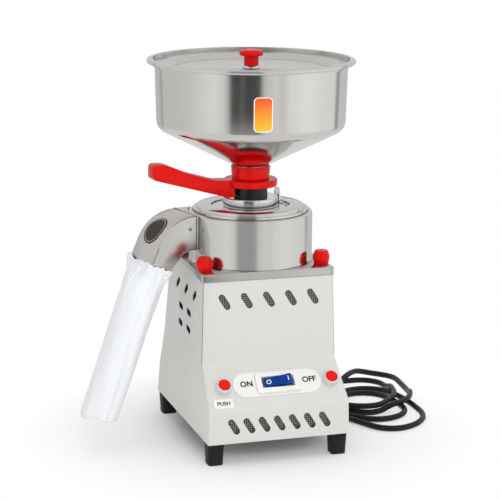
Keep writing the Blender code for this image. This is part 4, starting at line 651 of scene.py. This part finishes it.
def printed(name, colour, roughness=0.45):
    """Ink or lacquer with a slightly uneven edge of gloss."""
    look = Look(name, colour, roughness)
    clouds = look.noise(look.place(), 300.0)
    look.vary(clouds, roughness - 0.05, roughness + 0.08, clouds, 0.5, 0.1)
    return look.material


def sticker_ink(name):
    """Glossy print that runs from yellow at its foot to orange at its head."""
    look = Look(name, (1.0, 0.42, 0.01), 0.35, coat_weight=0.3, coat_roughness=0.1)
    height = look.node("ShaderNodeSeparateXYZ", {"Vector": look.place()}).outputs["Z"]
    clouds = look.noise(look.place(), 200.0)
    wander = look.math("ADD", height, look.math("MULTIPLY", clouds, 0.004))
    foot, head = STICKER_Z - STICKER_HEIGHT * 0.45, STICKER_Z + STICKER_HEIGHT * 0.5
    look.blend(look.spread(wander, 0.0, 1.0, foot, head), (0.98, 0.50, 0.008), (0.93, 0.075, 0.008))
    return look.material


SPUN = spun_steel("spun_steel")
HOPPER_STEEL = spun_steel("hopper_steel", roughness=0.12)
SHEET_STEEL = brushed_steel("brushed_sheet_steel", (40, 900, 40), (0.60, 0.59, 0.57), 0.24)
SPOUT_STEEL = brushed_steel("spout_steel", (900, 40, 900), (0.68, 0.67, 0.65), 0.27)
CHROME = polished_metal("polished_steel")
SATIN = cast_metal("satin_aluminium", (0.84, 0.84, 0.82), 0.42, 0.55)
ZINC = polished_metal("zinc_steel", (0.62, 0.62, 0.63), 0.28)
CABINET = satin_sheet("cabinet_sheet")
RED = moulded("red_plastic", (0.71, 0.0028, 0.002), 0.20, strength=0.02, specular_ior_level=0.2)
BUTTON_RED = moulded("button_red", (0.80, 0.004, 0.003), 0.35, specular_ior_level=0.2)
BLACK = moulded("black_plastic", (0.010, 0.010, 0.010), 0.28, specular_ior_level=0.35)
RUBBER = moulded("black_rubber", (0.008, 0.008, 0.008), 0.55, 500.0, 0.2, specular_ior_level=0.3)
CORD_SKIN = moulded("cord_skin", (0.006, 0.006, 0.006), 0.34, 700.0, 0.08, specular_ior_level=0.3)
WHITE = moulded("white_plastic", (0.86, 0.86, 0.84), 0.34)
BLUE = moulded("blue_plastic", (0.001, 0.038, 0.26), 0.16, strength=0.02, specular_ior_level=0.2)
LABEL = printed("label_sheet", (0.84, 0.84, 0.82), 0.38)
INK = printed("black_ink", (0.008, 0.008, 0.008))
PAPER = printed("white_paper", (0.90, 0.90, 0.90), 0.6)
GOLD = polished_metal("gold_line", (0.75, 0.52, 0.22), 0.25)
STICKER = sticker_ink("sticker_ink")
CAST = cast_metal("cast_aluminium", (0.50, 0.51, 0.52))
DARK = cast_metal("dark_sheet", (0.24, 0.24, 0.25), 0.45)
WIRE = polished_metal("mesh_wire", (0.66, 0.65, 0.63), 0.35)
# Dark seams and joints, and also painted shade: the ring at the lid recess's foot, the line under the lip,
# screw recesses and the sheet behind the vents
SEAM_AND_SHADE_DARK = moulded("dark_seam_and_painted_shade", (0.03, 0.03, 0.03), 0.7)
CLOTH_LOOK = woven_cloth("white_cotton")


def pair(stem):
    """The names of the two nodes of a kind."""
    return [stem + "_left", stem + "_right"]


def corners(stem):
    """The names of the four nodes at the mill's corners."""
    return pair(stem + "_front") + pair(stem + "_rear")


NODE_LOOKS = {
    CABINET: ["cabinet_shell"],
    SHEET_STEEL: ["top_plate"],
    SPUN: ["drum_housing", "chamber_lid"],
    HOPPER_STEEL: ["hopper", "hopper_lid"],
    SPOUT_STEEL: ["spout_neck", "spout_elbow"],
    CHROME: ["collar_ring", "clamp_tab", "knob_ferrule", "main_shaft", "top_bearing", "bottom_bearing"],
    SATIN: pair("button_bush"),
    ZINC: corners("mount_stud"),
    RED: [*corners("stud_cap"), "adjusting_lever", "hopper_socket", "lid_knob"],
    BUTTON_RED: pair("button_cap"),
    BLACK: ["threaded_sleeve", "cooling_fan", "capacitor_cup", "terminal_block", "cable_gland", "power_plug"],
    RUBBER: [*corners("foot"), "shaft_seal"],
    WHITE: ["switch_housing", "start_capacitor"],
    LABEL: ["switch_label_plate"],
    BLUE: ["switch_rocker"],
    CAST: ["motor_casing", "motor_top_shield", "motor_bottom_shield", "stone_carrier", "stone_holder"],
    DARK: ["bottom_pan", "motor_mount_plate"],
    emery("emery_stone"): ["runner_stone", "upper_stone"],
    layered_steel("stamped_steel"): ["stator_core", "rotor_core"],
}

# Nodes in sight: the ones with round shading alone, and how far the edges of the others are rounded
ROUND_NODES = [
    "drum_housing", "chamber_lid", "hopper", "hopper_lid", "spout_neck", "collar_ring", "stone_holder",
    "threaded_sleeve", "knob_ferrule", *pair("button_bush"), *pair("button_cap"), *corners("stud_cap"),
    "lid_knob", "cable_gland",
]
EDGES = dict.fromkeys(ROUND_NODES, 0.0) | dict.fromkeys(corners("foot"), 0.0010) | {
    "cabinet_shell": 0.0006, "top_plate": 0.0007, "spout_elbow": 0.0006, "clamp_tab": 0.0003,
    "adjusting_lever": 0.0010, "hopper_socket": 0.0006, "switch_housing": 0.0004,
    "switch_label_plate": 0.0003, "switch_rocker": 0.0003, "power_plug": 0.0005, "bottom_pan": 0.0004,
}


def dress_nodes():
    """Gives the CAD nodes listed in NODE_LOOKS their materials, and the ones in sight a finer stand-in."""
    for look, names in NODE_LOOKS.items():
        for name in names:
            materials = NODES[name].data.materials
            materials.clear()
            materials.append(look)
            if name in EDGES:
                fine(name, look, EDGES[name])


# Frames of the tilted panel and of the spout
PANEL_FRONT, PANEL_Z = (SKIRT_FRONT + CONTROL_TOP_FRONT) / 2, (SKIRT_TOP_Z + CONTROL_TOP_Z) / 2
PANEL_TILT = math.atan2(CONTROL_TOP_Z - SKIRT_TOP_Z, SKIRT_FRONT - CONTROL_TOP_FRONT)
PANEL = Matrix.Translation(AXIS + Vector((CONTROL_OFFSET, -PANEL_FRONT, PANEL_Z)))
PANEL = PANEL @ Euler((PANEL_TILT, 0, 0)).to_matrix().to_4x4()
HEADING = math.pi + SPOUT_TURN
SPOUT_PLACE = Vector((SPOUT_OFFSET * math.sin(HEADING), -SPOUT_OFFSET * math.cos(HEADING), 0))
SPOUT = Matrix.Translation(AXIS + SPOUT_PLACE) @ Matrix.Rotation(HEADING, 4, "Z")


def spout_side(start, side, share):
    """A point along one side of the spout's bend, by share of its length."""
    lead, bend, turn, tail = side
    x, z = start
    along = share * (lead + bend * turn + tail)
    straight = min(along, lead)
    x += straight
    along -= straight
    arc = min(along / bend, turn)
    x += bend * math.sin(arc)
    z -= bend * (1 - math.cos(arc))
    along -= arc * bend
    return Vector((x + along * math.cos(turn), 0, z - along * math.sin(turn)))


def spout_ends(share):
    """Outer and inner points of the spout and its half width, by share of its length."""
    outer = spout_side((NECK_END, DRUM_TOP_Z), OUTER_SIDE, share)
    inner = spout_side((NECK_END, DRUM_TOP_Z - NECK_DEPTH), INNER_SIDE, share)
    return outer, inner, NECK_HALF_WIDTH + (MOUTH_HALF_WIDTH - NECK_HALF_WIDTH) * share


def oval(centre, lean, half_width, half_depth, square):
    """A ring of points across the sleeve: an oval, or nearly a rectangle where square is 1."""
    ring = []
    for index in range(SLEEVE_COLUMNS):
        angle = math.tau * index / SLEEVE_COLUMNS
        c, s = math.cos(angle), math.sin(angle)
        reach = max(abs(c), abs(s)) ** (-CORNER_SHARE * square)
        x, y = c * reach, s * reach
        ring.append(centre + Vector((0, x * half_width, 0)) + lean * (y * half_depth))
    return ring


def cloth_sleeve():
    """The gathered cloth sleeve: puckered where it grips the spout, open and creased below."""
    outer, inner, half_width = spout_ends(1)
    rise = (outer - inner).normalized()
    out = Vector((rise.z, 0, -rise.x))
    depth = (outer - inner).length / 2
    start = (outer + inner) / 2
    end = start - out * SLEEVE_LAP + Vector((SLEEVE_REACH, 0, -SLEEVE_DROP))
    chord = end - start
    side = Vector((-chord.z, 0, chord.x)).normalized()
    length = chord.length + SLEEVE_LAP
    grip = oval(start, rise, half_width + 2 * CLOTH, depth + 2 * CLOTH, 1)
    rows = []
    for row in range(SLEEVE_ROWS + 1):
        run = length * row / SLEEVE_ROWS - SLEEVE_LAP
        share = max(0, run / chord.length)
        swell = min(1, max(0, run) / SLEEVE_SWELL)
        swell *= swell * (3 - 2 * swell)
        wide, deep = (top + (hem - top) * share for top, hem in zip(SLEEVE_TOP, SLEEVE_HEM))
        below = oval(start + chord * share, side, wide, deep, 0)
        ring = []
        for index, (held, free) in enumerate(zip(grip, below)):
            turn = index / SLEEVE_COLUMNS
            if run < 0:
                flare = (held - start).normalized() * (-run * LAP_FLARE_SHARE)
                point = held + out * (run * lap_share(turn)) + flare
            else:
                point = (held + chord * share).lerp(free, swell)
            hem = max(0, run / chord.length - HEM_START_SHARE) / HEM_SHARE
            creased = crease(point, start + chord * share, run, turn)
            ring.append(creased + chord.normalized() * (hem_wave(turn) * hem))
        rows.append(ring)
    piece = add_piece("sleeve_cloth", grid_mesh("cloth_sleeve_dressed", rows), CLOTH_LOOK)
    piece.matrix_world = SPOUT
    modifier = piece.modifiers.new("thickness", "SOLIDIFY")
    modifier.thickness = CLOTH
    modifier.offset = 0
    smooth(piece)
    stand_in(piece, "cloth_sleeve")


def ring_noise(turn, reach, along):
    """Smooth noise that closes on itself round the sleeve."""
    angle = math.tau * turn
    return noise.noise(Vector((math.cos(angle) * reach, math.sin(angle) * reach, along)))


def lap_share(turn):
    """How far up the spout the cloth reaches, by its place round the sleeve."""
    return 0.62 + 0.75 * ring_noise(turn, 2.3, 7.1)


def hem_wave(turn):
    """How far the hem hangs lower or higher, by its place round the sleeve."""
    return 0.0020 + 0.0050 * math.sin(math.tau * turn) + 0.0090 * ring_noise(turn, 1, 2.6)


def crease(point, centre, run, turn):
    """Moves a point of the sleeve out or in: pleats by the band, long soft folds below."""
    away = (point - centre).normalized()
    pleats = 0.0
    for count, size, phase in PLEATS:
        wander = PLEAT_WANDER * noise.noise(Vector((count, run * 30, turn * 3)))
        pleats += size * math.sin(math.tau * count * turn + phase + wander)
    if run < 0:
        return point + away * (abs(pleats) * LAP_PLEAT_SHARE + LAP_LIFT)
    near = math.exp(-run / PLEAT_REACH)
    loose = 1 - math.exp(-run / LOOSE_REACH)
    folds = ring_noise(turn, 1.6, run * 9)
    crumples = noise.noise(Vector((turn * 34, run * 60, 4.7)))
    shift = pleats * near + loose * (FOLD_DEPTH * folds + CRUMPLE_DEPTH * crumples)
    past = turn - FOLD_TURN - FOLD_SWAY * math.sin(run * FOLD_SWAY_RATE)
    ridge = abs((past + 0.5) % 1 - 0.5)
    hollow = (past + HOLLOW_OFFSET + 0.5) % 1 - 0.5
    shift += loose * RIDGE_HEIGHT * math.exp(-ridge / RIDGE_WIDTH)
    shift -= loose * HOLLOW_DEPTH * math.exp(-(hollow / HOLLOW_WIDTH) ** 2)
    return point + away * shift


def woven_wire(name, node, lean=0.0):
    """Woven wire cloth in place of a plain screen: each wire goes over one and under the next. A dark sheet
    behind it is painted shade inside the cabinet.
    """
    low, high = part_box(node)
    ahead = Vector((0, -math.cos(lean), math.sin(lean)))
    frame = facing((low + high) / 2 - ahead * WIRE_DEPTH, ahead)
    width = high.x - low.x
    height = (high.z - low.z) / math.cos(lean)
    columns = int(width / WIRE_PITCH)
    rows = int(height / WIRE_PITCH)
    shape = bmesh.new()

    def wire(start, step, cross, count, phase):
        rings = []
        for i in range(count * 2 + 1):
            over = WIRE_RADIUS * math.sin(math.pi * (i / 2 + phase))
            middle = start + step * i + Vector((0, 0, over))
            sides = (cross, Vector((0, 0, 1)), -cross, Vector((0, 0, -1)))
            rings.append([shape.verts.new(frame @ (middle + side * WIRE_RADIUS)) for side in sides])
        for first, second in zip(rings, rings[1:]):
            for j in range(4):
                k = (j + 1) % 4
                shape.faces.new((first[j], first[k], second[k], second[j]))
        shape.faces.new(reversed(rings[0]))
        shape.faces.new(rings[-1])

    half = WIRE_PITCH / 2
    left, foot = -columns * half, -rows * half
    across, upwards = Vector((1, 0, 0)), Vector((0, 1, 0))
    for row in range(rows):
        start = Vector((left, foot + half + row * WIRE_PITCH, 0))
        wire(start, across * half, upwards, columns, 0.5 + row)
    for column in range(columns):
        start = Vector((left + half + column * WIRE_PITCH, foot, 0))
        wire(start, upwards * half, across, rows, 1.5 + column)
    bmesh.ops.recalc_face_normals(shape, faces=shape.faces)
    mesh = bpy.data.meshes.new(name)
    shape.to_mesh(mesh)
    shape.free()
    stand_in(smooth(add_piece(name, mesh, WIRE)), node)
    # A dark sheet behind the wire: painted shade inside the cabinet
    sheet = rounded(width, height, SHADE_SHEET_CORNER)
    prism(name + "_shade_sheet", sheet, -SHADE_SHEET_DEPTH, SHADE_SHEET_THICKNESS - SHADE_SHEET_DEPTH, SEAM_AND_SHADE_DARK, frame)


def duct_ring(x, grow):
    """The outline of the spout's neck at a distance from the drum's axis, in the spout's frame."""
    outline = rounded(2 * NECK_HALF_WIDTH + 2 * grow, NECK_DEPTH + 2 * grow, NECK_CORNER + max(0, grow), 5)
    return [Vector((x, a, DRUM_TOP_Z - NECK_DEPTH / 2 + b)) for a, b in outline]


def spout_details():
    """The joint band round the spout, its screw, a seam by the sleeve and the round badge."""
    rows = [duct_ring(x, grow) for x, grow in JOINT_BAND]
    loft("spout_joint_band", rows, SPOUT_STEEL, caps=False).matrix_world = SPOUT
    line = [SPOUT @ point for point in duct_ring(JOINT_LINE_X, 0.0)]
    tube("spout_joint_line", line, JOINT_LINE_RADIUS, SEAM_AND_SHADE_DARK, closed=True)
    turn = SPOUT.to_3x3()
    start = SPOUT @ Vector((SPOUT_SCREW_X, BESIDE_SPOUT, SPOUT_SCREW_Z))
    spot = landing("spout_elbow", start, turn @ Vector((0, -1, 0)), turn @ Vector((1, 0, 0)))
    screw("spout_screw", spot, SPOUT_SCREW_RADIUS)
    seam = []
    for step in range(SPOUT_SEAM_STEPS + 1):
        share = SPOUT_SEAM_SHARES[0] + SPOUT_SEAM_SHARES[1] * step / SPOUT_SEAM_STEPS
        outer, inner, half_width = spout_ends(share)
        beside = Vector((0, half_width + SPOUT_SEAM_LIFT, 0))
        seam.append(SPOUT @ (outer + beside + (inner - outer).normalized() * SPOUT_SEAM_DROP))
    tube("spout_seam", seam, SEAM_RADIUS, SEAM_AND_SHADE_DARK)
    roof_disc("spout_badge", 0.0, BADGE_RADIUS, 0.0003, INK)
    roof_disc("spout_badge_ring", BADGE_RADIUS * 0.84, BADGE_RADIUS * 0.89, 0.0005, GOLD)


def roof_point(along, across, lift):
    """A point on the spout's curved roof, by distance from the badge's centre."""
    total = OUTER_SIDE[0] + OUTER_SIDE[1] * OUTER_SIDE[2] + OUTER_SIDE[3]
    places = [spout_side((NECK_END, DRUM_TOP_Z), OUTER_SIDE, BADGE_SHARE + (along + step) / total)
              for step in (-BADGE_STEP, 0.0, BADGE_STEP)]
    run = (places[2] - places[0]).normalized()
    normal = Vector((-run.z, 0, run.x))
    return SPOUT @ (places[1] + Vector((0, across, 0)) + normal * lift)


def roof_disc(name, low, high, lift, look, rings=8, steps=56):
    """A disc or a ring that follows the spout's roof."""
    radii = [low, *(low + (high - low) * i / rings for i in range(rings + 1)), high]
    lifts = [-BADGE_SINK, *[lift] * (rings + 1), -BADGE_SINK]
    rows = [[roof_point(*point) for point in circle(max(radius, BADGE_CENTRE_HOLE), height, steps)]
            for radius, height in zip(radii, lifts)]
    loft(name, rows, look, caps=low == 0)


def drum_details():
    """A dark joint line round the drum's lid, a painted shade ring at the foot of its recess, and the lid's
    small screw.
    """
    # The ring round the lid is a dark joint; the ring at the recess's foot is painted shade
    for name, base, (radius, lift, thickness) in (("lid_gap_line", DRUM_TOP_Z, LID_GAP),
                                                  ("recess_shade_line", LID_TOP_Z, RECESS_SHADE)):
        points = [AXIS + point for point in circle(radius, base + lift, RING_STEPS)]
        tube(name, points, thickness, SEAM_AND_SHADE_DARK, closed=True)
    x, y = LID_SCREW_DISTANCE * math.sin(LID_SCREW_TURN), -LID_SCREW_DISTANCE * math.cos(LID_SCREW_TURN)
    spot = landing("chamber_lid", AXIS + Vector((x, y, ABOVE_LID_Z)), Vector((0, 0, -1)))
    screw("lid_screw", spot, LID_SCREW_RADIUS)


def hopper_sticker():
    """A plain two-tone sticker with a white border, which follows the hopper's wall."""
    layers = (("hopper_sticker_edge", STICKER_BORDER, 0.0005, PAPER),
              ("hopper_sticker", 0.0, 0.0007, STICKER))
    for name, grow, lift, look in layers:
        outline = rounded(STICKER_WIDTH + 2 * grow, STICKER_HEIGHT + 2 * grow, STICKER_CORNER + grow, 8)
        heights = [-PAPER_SINK, *(lift for _ in STICKER_ROW_SHARES[1:])]
        rows = [[wall_point(x * share, y * share, height) for x, y in outline]
                for share, height in zip(STICKER_ROW_SHARES, heights)]
        loft(name, rows, look, "hopper")


def wall_point(across, up, lift):
    """A point on the hopper's wall, from the sticker's centre."""
    height = STICKER_Z + up
    widening = (WALL_HEAD_RADIUS - WALL_FOOT_RADIUS) * (height - WALL_FOOT_Z) / WALL_RISE
    radius = WALL_FOOT_RADIUS + widening + lift
    angle = STICKER_TURN + across / radius
    return AXIS + Vector((radius * math.sin(angle), -radius * math.cos(angle), height))


def panel_details():
    """Words, the card under the left button, and the rocker's marks."""
    face = PANEL @ Matrix.Translation((0, 0, LABEL_TOP))
    for name, text, x in (("word_on", "ON", -ON_OFFSET), ("word_off", "OFF", OFF_OFFSET)):
        words(name, text, WORD_SIZE, INK, face @ Matrix.Translation((x, WORD_RISE, 0)))
    card = PANEL @ Matrix.Translation((-BUTTON_SPREAD - CARD_OFFSET, -CARD_DROP, 0))
    prism("push_card", rounded(CARD_WIDTH, CARD_HEIGHT, CARD_CORNER), -PAPER_SINK, PAPER_HEIGHT, PAPER, card)
    words("word_push", "PUSH", CARD_WORD_SIZE, INK, card @ Matrix.Translation((0, 0, PAPER_HEIGHT)))
    down = PANEL.to_3x3() @ Vector((0, 0, -1))
    off, on = (landing("switch_rocker", PANEL @ Vector((x, 0, ABOVE_ROCKER)), down)
               for x in (-MARK_OFFSET, MARK_OFFSET))
    inner = MARK_RADIUS - MARK_LINE
    profile = ((inner, -MARK_SINK), (inner, PRINT_HEIGHT),
               (MARK_RADIUS, PRINT_HEIGHT), (MARK_RADIUS, -MARK_SINK))
    lathe("mark_off", profile, WHITE, off, "rocker", hollow=True)
    bar = rounded(MARK_LINE, 2 * MARK_RADIUS, MARK_LINE / 3)
    prism("mark_on", bar, -MARK_SINK, PRINT_HEIGHT, WHITE, on, "rocker")


def cabinet_seams():
    """Seams at the front corners, and a dark line under the top plate's lip that marks its joint and is
    painted shadow of the lip.
    """
    low = (CONTROL_TOP_WIDTH / 2, CONTROL_TOP_FRONT, CONTROL_TOP_Z + CORNER_SEAM_LOW)
    high = (TOP_WIDTH / 2 + LINE_LIFT, TOP_FRONT + LINE_LIFT, PLATE_TOP_Z - CORNER_SEAM_HIGH)
    for side, word in SIDES:
        ends = [AXIS + Vector((side * (width + CORNER_SEAM_LIFT), CORNER_SEAM_TUCK - front, height))
                for width, front, height in (low, high)]
        line = [ends[0].lerp(ends[1], step / CORNER_SEAM_STEPS) for step in range(CORNER_SEAM_STEPS + 1)]
        tube("corner_seam_" + word, line, SEAM_RADIUS, SEAM_AND_SHADE_DARK)
    for side, word in SIDES:
        corner = AXIS + Vector((side * (TOP_WIDTH / 2 - LIP_SEAM_TUCK), -TOP_FRONT - LIP_SEAM_LIFT, 0))
        line = [corner + Vector((0, 0, height)) for height in LIP_SEAM_HEIGHTS]
        tube("lip_seam_" + word, line, LIP_SEAM_RADIUS, SEAM_AND_SHADE_DARK)
    # A dark line round the lip's foot: its joint with the cabinet, darkened as painted shadow
    half, front, back = TOP_WIDTH / 2 + LINE_LIFT, TOP_FRONT + LINE_LIFT, TOP_FRONT + LIP_SHADOW_BACK
    left, right, rear_left, rear_right = (
        AXIS + Vector((x, y, LIP_Z)) for y in (-front, back) for x in (-half, half))
    for name, line in (("lip_shadow_line", (left, right)), ("lip_shadow_side", (left, rear_left)),
                       ("lip_shadow_side_right", (right, rear_right))):
        tube(name, line, LIP_SHADOW_RADIUS, SEAM_AND_SHADE_DARK)


def cabinet_details():
    """Seams, woven wire behind the slots, and the back's plate and screws."""
    cabinet_seams()
    lean = math.atan2(CONTROL_TOP_FRONT - TOP_FRONT, PLATE_TOP_Z - CONTROL_TOP_Z)
    woven_wire("front_wire", "front_vent_screen", lean)
    woven_wire("skirt_wire", "skirt_vent_screen")

    def back_spot(x, height):
        start = AXIS + Vector((x, BEHIND_MILL, height))
        return landing("cabinet_shell", start, Vector((0, -1, 0)), (-1, 0, 0))

    plate = back_spot(BACK_PLATE_X, BACK_PLATE_Z)
    outline = rounded(BACK_PLATE_WIDTH, BACK_PLATE_HEIGHT, BACK_PLATE_CORNER)
    prism("rating_plate", outline, -PAPER_SINK, BACK_PLATE_THICKNESS, ZINC, plate)
    for side, word in SIDES:
        place = (side * (BACK_PLATE_WIDTH / 2 - PLATE_SCREW_INSET), 0, BACK_PLATE_THICKNESS)
        screw("rating_screw_" + word, plate @ Matrix.Translation(place), PLATE_SCREW_RADIUS)
        screw("back_screw_low_" + word, back_spot(side * BACK_SCREW_X, BACK_SCREW_LOW_Z))
        screw("back_screw_high_" + word, back_spot(side * BACK_SCREW_X, BACK_SCREW_HIGH_Z))


def smooth_route(points, steps):
    """A smooth curve through the given points."""
    padded = [2 * points[0] - points[1], *points, 2 * points[-1] - points[-2]]
    route = []
    for a, b, c, d in zip(padded, padded[1:], padded[2:], padded[3:]):
        knots = [0]
        for first, second in ((a, b), (b, c), (c, d)):
            knots.append(knots[-1] + math.sqrt((second - first).length))
        k0, k1, k2, k3 = knots
        for step in range(steps):
            t = k1 + (k2 - k1) * step / steps
            ab = a.lerp(b, (t - k0) / (k1 - k0))
            bc = b.lerp(c, (t - k1) / (k2 - k1))
            cd = c.lerp(d, (t - k2) / (k3 - k2))
            abc = ab.lerp(bc, (t - k0) / (k2 - k0))
            bcd = bc.lerp(cd, (t - k1) / (k3 - k1))
            route.append(abc.lerp(bcd, (t - k1) / (k2 - k1)))
    return [*route, points[-1]]


def power_cord():
    """The mains cord in loose loops on the worktop, from its gland to its plug."""
    along = Vector((0, math.cos(BACK_LEAN), math.sin(BACK_LEAN)))
    mouth = AXIS + Vector(CORD_MOUTH)
    points = [mouth, mouth + along * CORD_LEAD, *(AXIS + Vector(place) for place in CORD_ROUTE)]
    route = smooth_route(points, CORD_SMOOTH_STEPS)
    piece = tube("mains_cord", route, CORD_DIAMETER / 2, CORD_SKIN, steps=6)
    stand_in(piece, "power_cord")


# Stage


def build_camera():
    """The photograph's view."""
    turn, rise = CAMERA_TURN, CAMERA_RISE
    back = Vector((math.sin(turn) * math.cos(rise), -math.cos(turn) * math.cos(rise), math.sin(rise)))
    right = Vector((math.cos(turn), math.sin(turn), 0))
    up = back.cross(right)
    c, s = math.cos(CAMERA_ROLL), math.sin(CAMERA_ROLL)
    right, up = c * right + s * up, c * up - s * right
    data = bpy.data.cameras.new("camera")
    data.lens = CAMERA_LENS
    data.sensor_width = 36
    camera = add_object("camera", data)
    place = AXIS + Vector((0, 0, CAMERA_AIM)) + back * CAMERA_DISTANCE
    camera.matrix_world = Matrix.Translation(place) @ Matrix((right, up, back)).transposed().to_4x4()
    bpy.context.scene.camera = camera


# The studio that the steel mirrors: levels by compass angle, in degrees from the front to the right
STUDIO_STOPS = [
    (-180, 0.58), (-156, 0.58), (-153, 0.40), (-150, 0.40), (-147, 0.66), (-110, 0.68), (-92, 0.74),
    (-60, 0.92), (-50, 0.82), (-44, 0.62), (-40, 0.07), (-31, 0.08), (-27, 0.15), (-23, 0.07),
    (-7, 0.08), (-3, 0.66), (12, 0.82), (20, 0.70), (28, 0.92), (38, 0.94), (44, 1.0), (54, 1.0),
    (72, 0.94), (101, 0.86), (104, 0.36), (110, 0.36), (113, 0.70), (135, 0.62), (180, 0.58),
]

# How much of the studio shows: from the floor by distance in metres, and from the sky by a share
STUDIO_NEAR = 0.9
STUDIO_FAR = 1.7
MIRRORED_LEVEL = 0.78
SKY_SHARE = 0.45

# White floor: shaded up to the near distance, plain white past the far one
FLOOR_COLOUR = (0.93, 0.93, 0.93)
FLOOR_RADIUS = 30
FLOOR_NEAR = 0.10
FLOOR_FAR = 0.34

# Light: the world's level, and the lamps by place, size and power
WORLD_LEVEL = 0.68
LAMPS = {"top_lamp": ((0.1, -0.3, 2.4), 1.8, 7), "front_lamp": ((-0.3, -2.4, 1.2), 1.4, 26)}
LAMP_AIM = (0, 0, 0.2)


def studio_level(tree, vector):
    """The studio's brightness in the direction of a vector, whatever its height."""
    axes = add_node(tree, "ShaderNodeSeparateXYZ", {"Vector": vector}).outputs
    angle = add_math(tree, "ARCTAN2", axes["X"], add_math(tree, "MULTIPLY", axes["Y"], -1))
    share = add_node(tree, "ShaderNodeMapRange", {"Value": angle, "From Min": -math.pi, "From Max": math.pi})
    ramp = add_node(tree, "ShaderNodeValToRGB", {"Fac": share.outputs["Result"]})
    for _ in STUDIO_STOPS[2:]:
        ramp.color_ramp.elements.new(0.5)
    for element, (degrees, level) in zip(ramp.color_ramp.elements, STUDIO_STOPS):
        element.position = (degrees + 180) / 360
        element.color = (level, level, level, 1)
    return ramp.outputs["Color"]


def mix_shaders(tree, share, first, second):
    """Two shaders mixed by a share."""
    return add_node(tree, "ShaderNodeMixShader", {0: share, 1: first, 2: second}).outputs["Shader"]


def glow(tree, kind, colour=(1, 1, 1, 1), strength=1.0):
    """An even glow: emission in a material, or background in the world."""
    return add_node(tree, kind, {"Color": colour, "Strength": strength}).outputs[0]


def seen_direct(tree, path):
    """Where a camera or transmission ray arrives."""
    return add_math(tree, "MAXIMUM", path["Is Camera Ray"], path["Is Transmission Ray"])


def build_floor():
    """A white floor: it keeps the mill's shadow near it, and is plain white further off."""
    shape = bmesh.new()
    bmesh.ops.create_circle(shape, cap_ends=True, radius=FLOOR_RADIUS, segments=64)
    mesh = bpy.data.meshes.new("floor")
    shape.to_mesh(mesh)
    shape.free()
    look = Look("floor_white", FLOOR_COLOUR, 0.9, specular_ior_level=0.0)
    tree = look.tree
    place = look.node("ShaderNodeTexCoord").outputs["Object"]
    reach = look.node("ShaderNodeVectorMath", {0: place}, operation="LENGTH").outputs["Value"]
    away = look.spread(reach, 0.0, 1.0, FLOOR_NEAR, FLOOR_FAR)
    further = look.spread(reach, 0.0, 1.0, STUDIO_NEAR, STUDIO_FAR)
    path = look.node("ShaderNodeLightPath").outputs
    near = glow(tree, "ShaderNodeEmission", strength=MIRRORED_LEVEL)
    far = glow(tree, "ShaderNodeEmission", studio_level(tree, place))
    direct = look.math("MULTIPLY", away, seen_direct(tree, path))
    seen = mix_shaders(tree, direct, look.shader.outputs["BSDF"], glow(tree, "ShaderNodeEmission"))
    mirrored = look.math("MULTIPLY", away, path["Is Glossy Ray"])
    whole = mix_shaders(tree, mirrored, seen, mix_shaders(tree, further, near, far))
    tree.links.new(whole, tree.nodes["Material Output"].inputs["Surface"])
    mesh.materials.append(look.material)
    floor = add_object("floor", mesh)
    floor.location = AXIS


def build_world():
    """Even white light, and the same studio for the steel to mirror."""
    world = bpy.data.worlds.new("studio")
    world.use_nodes = True
    tree = world.node_tree
    tree.nodes.clear()
    place = tree.nodes.new("ShaderNodeTexCoord").outputs["Generated"]
    path = tree.nodes.new("ShaderNodeLightPath").outputs
    plain = glow(tree, "ShaderNodeBackground", strength=WORLD_LEVEL)
    studio = glow(tree, "ShaderNodeBackground", studio_level(tree, place))
    sky = glow(tree, "ShaderNodeBackground", strength=MIRRORED_LEVEL)
    lit = mix_shaders(tree, path["Is Glossy Ray"], plain, mix_shaders(tree, SKY_SHARE, studio, sky))
    whole = mix_shaders(tree, seen_direct(tree, path), lit, glow(tree, "ShaderNodeBackground"))
    add_node(tree, "ShaderNodeOutputWorld", {"Surface": whole})
    bpy.context.scene.world = world


def build_lights():
    """Two square soft lamps, which the steel doesn't mirror."""
    for name, (place, size, power) in LAMPS.items():
        data = bpy.data.lights.new(name, "AREA")
        data.size = size
        data.energy = power
        lamp = add_object(name, data)
        lamp.location = place
        lamp.visible_glossy = False
        lamp.rotation_euler = (Vector(LAMP_AIM) - Vector(place)).to_track_quat("-Z", "Y").to_euler()


dress_nodes()
power_cord()
cloth_sleeve()
cabinet_details()
panel_details()
spout_details()
drum_details()
hopper_sticker()
build_camera()
build_floor()
build_world()
build_lights()
bpy.context.scene.view_settings.view_transform = "Standard"
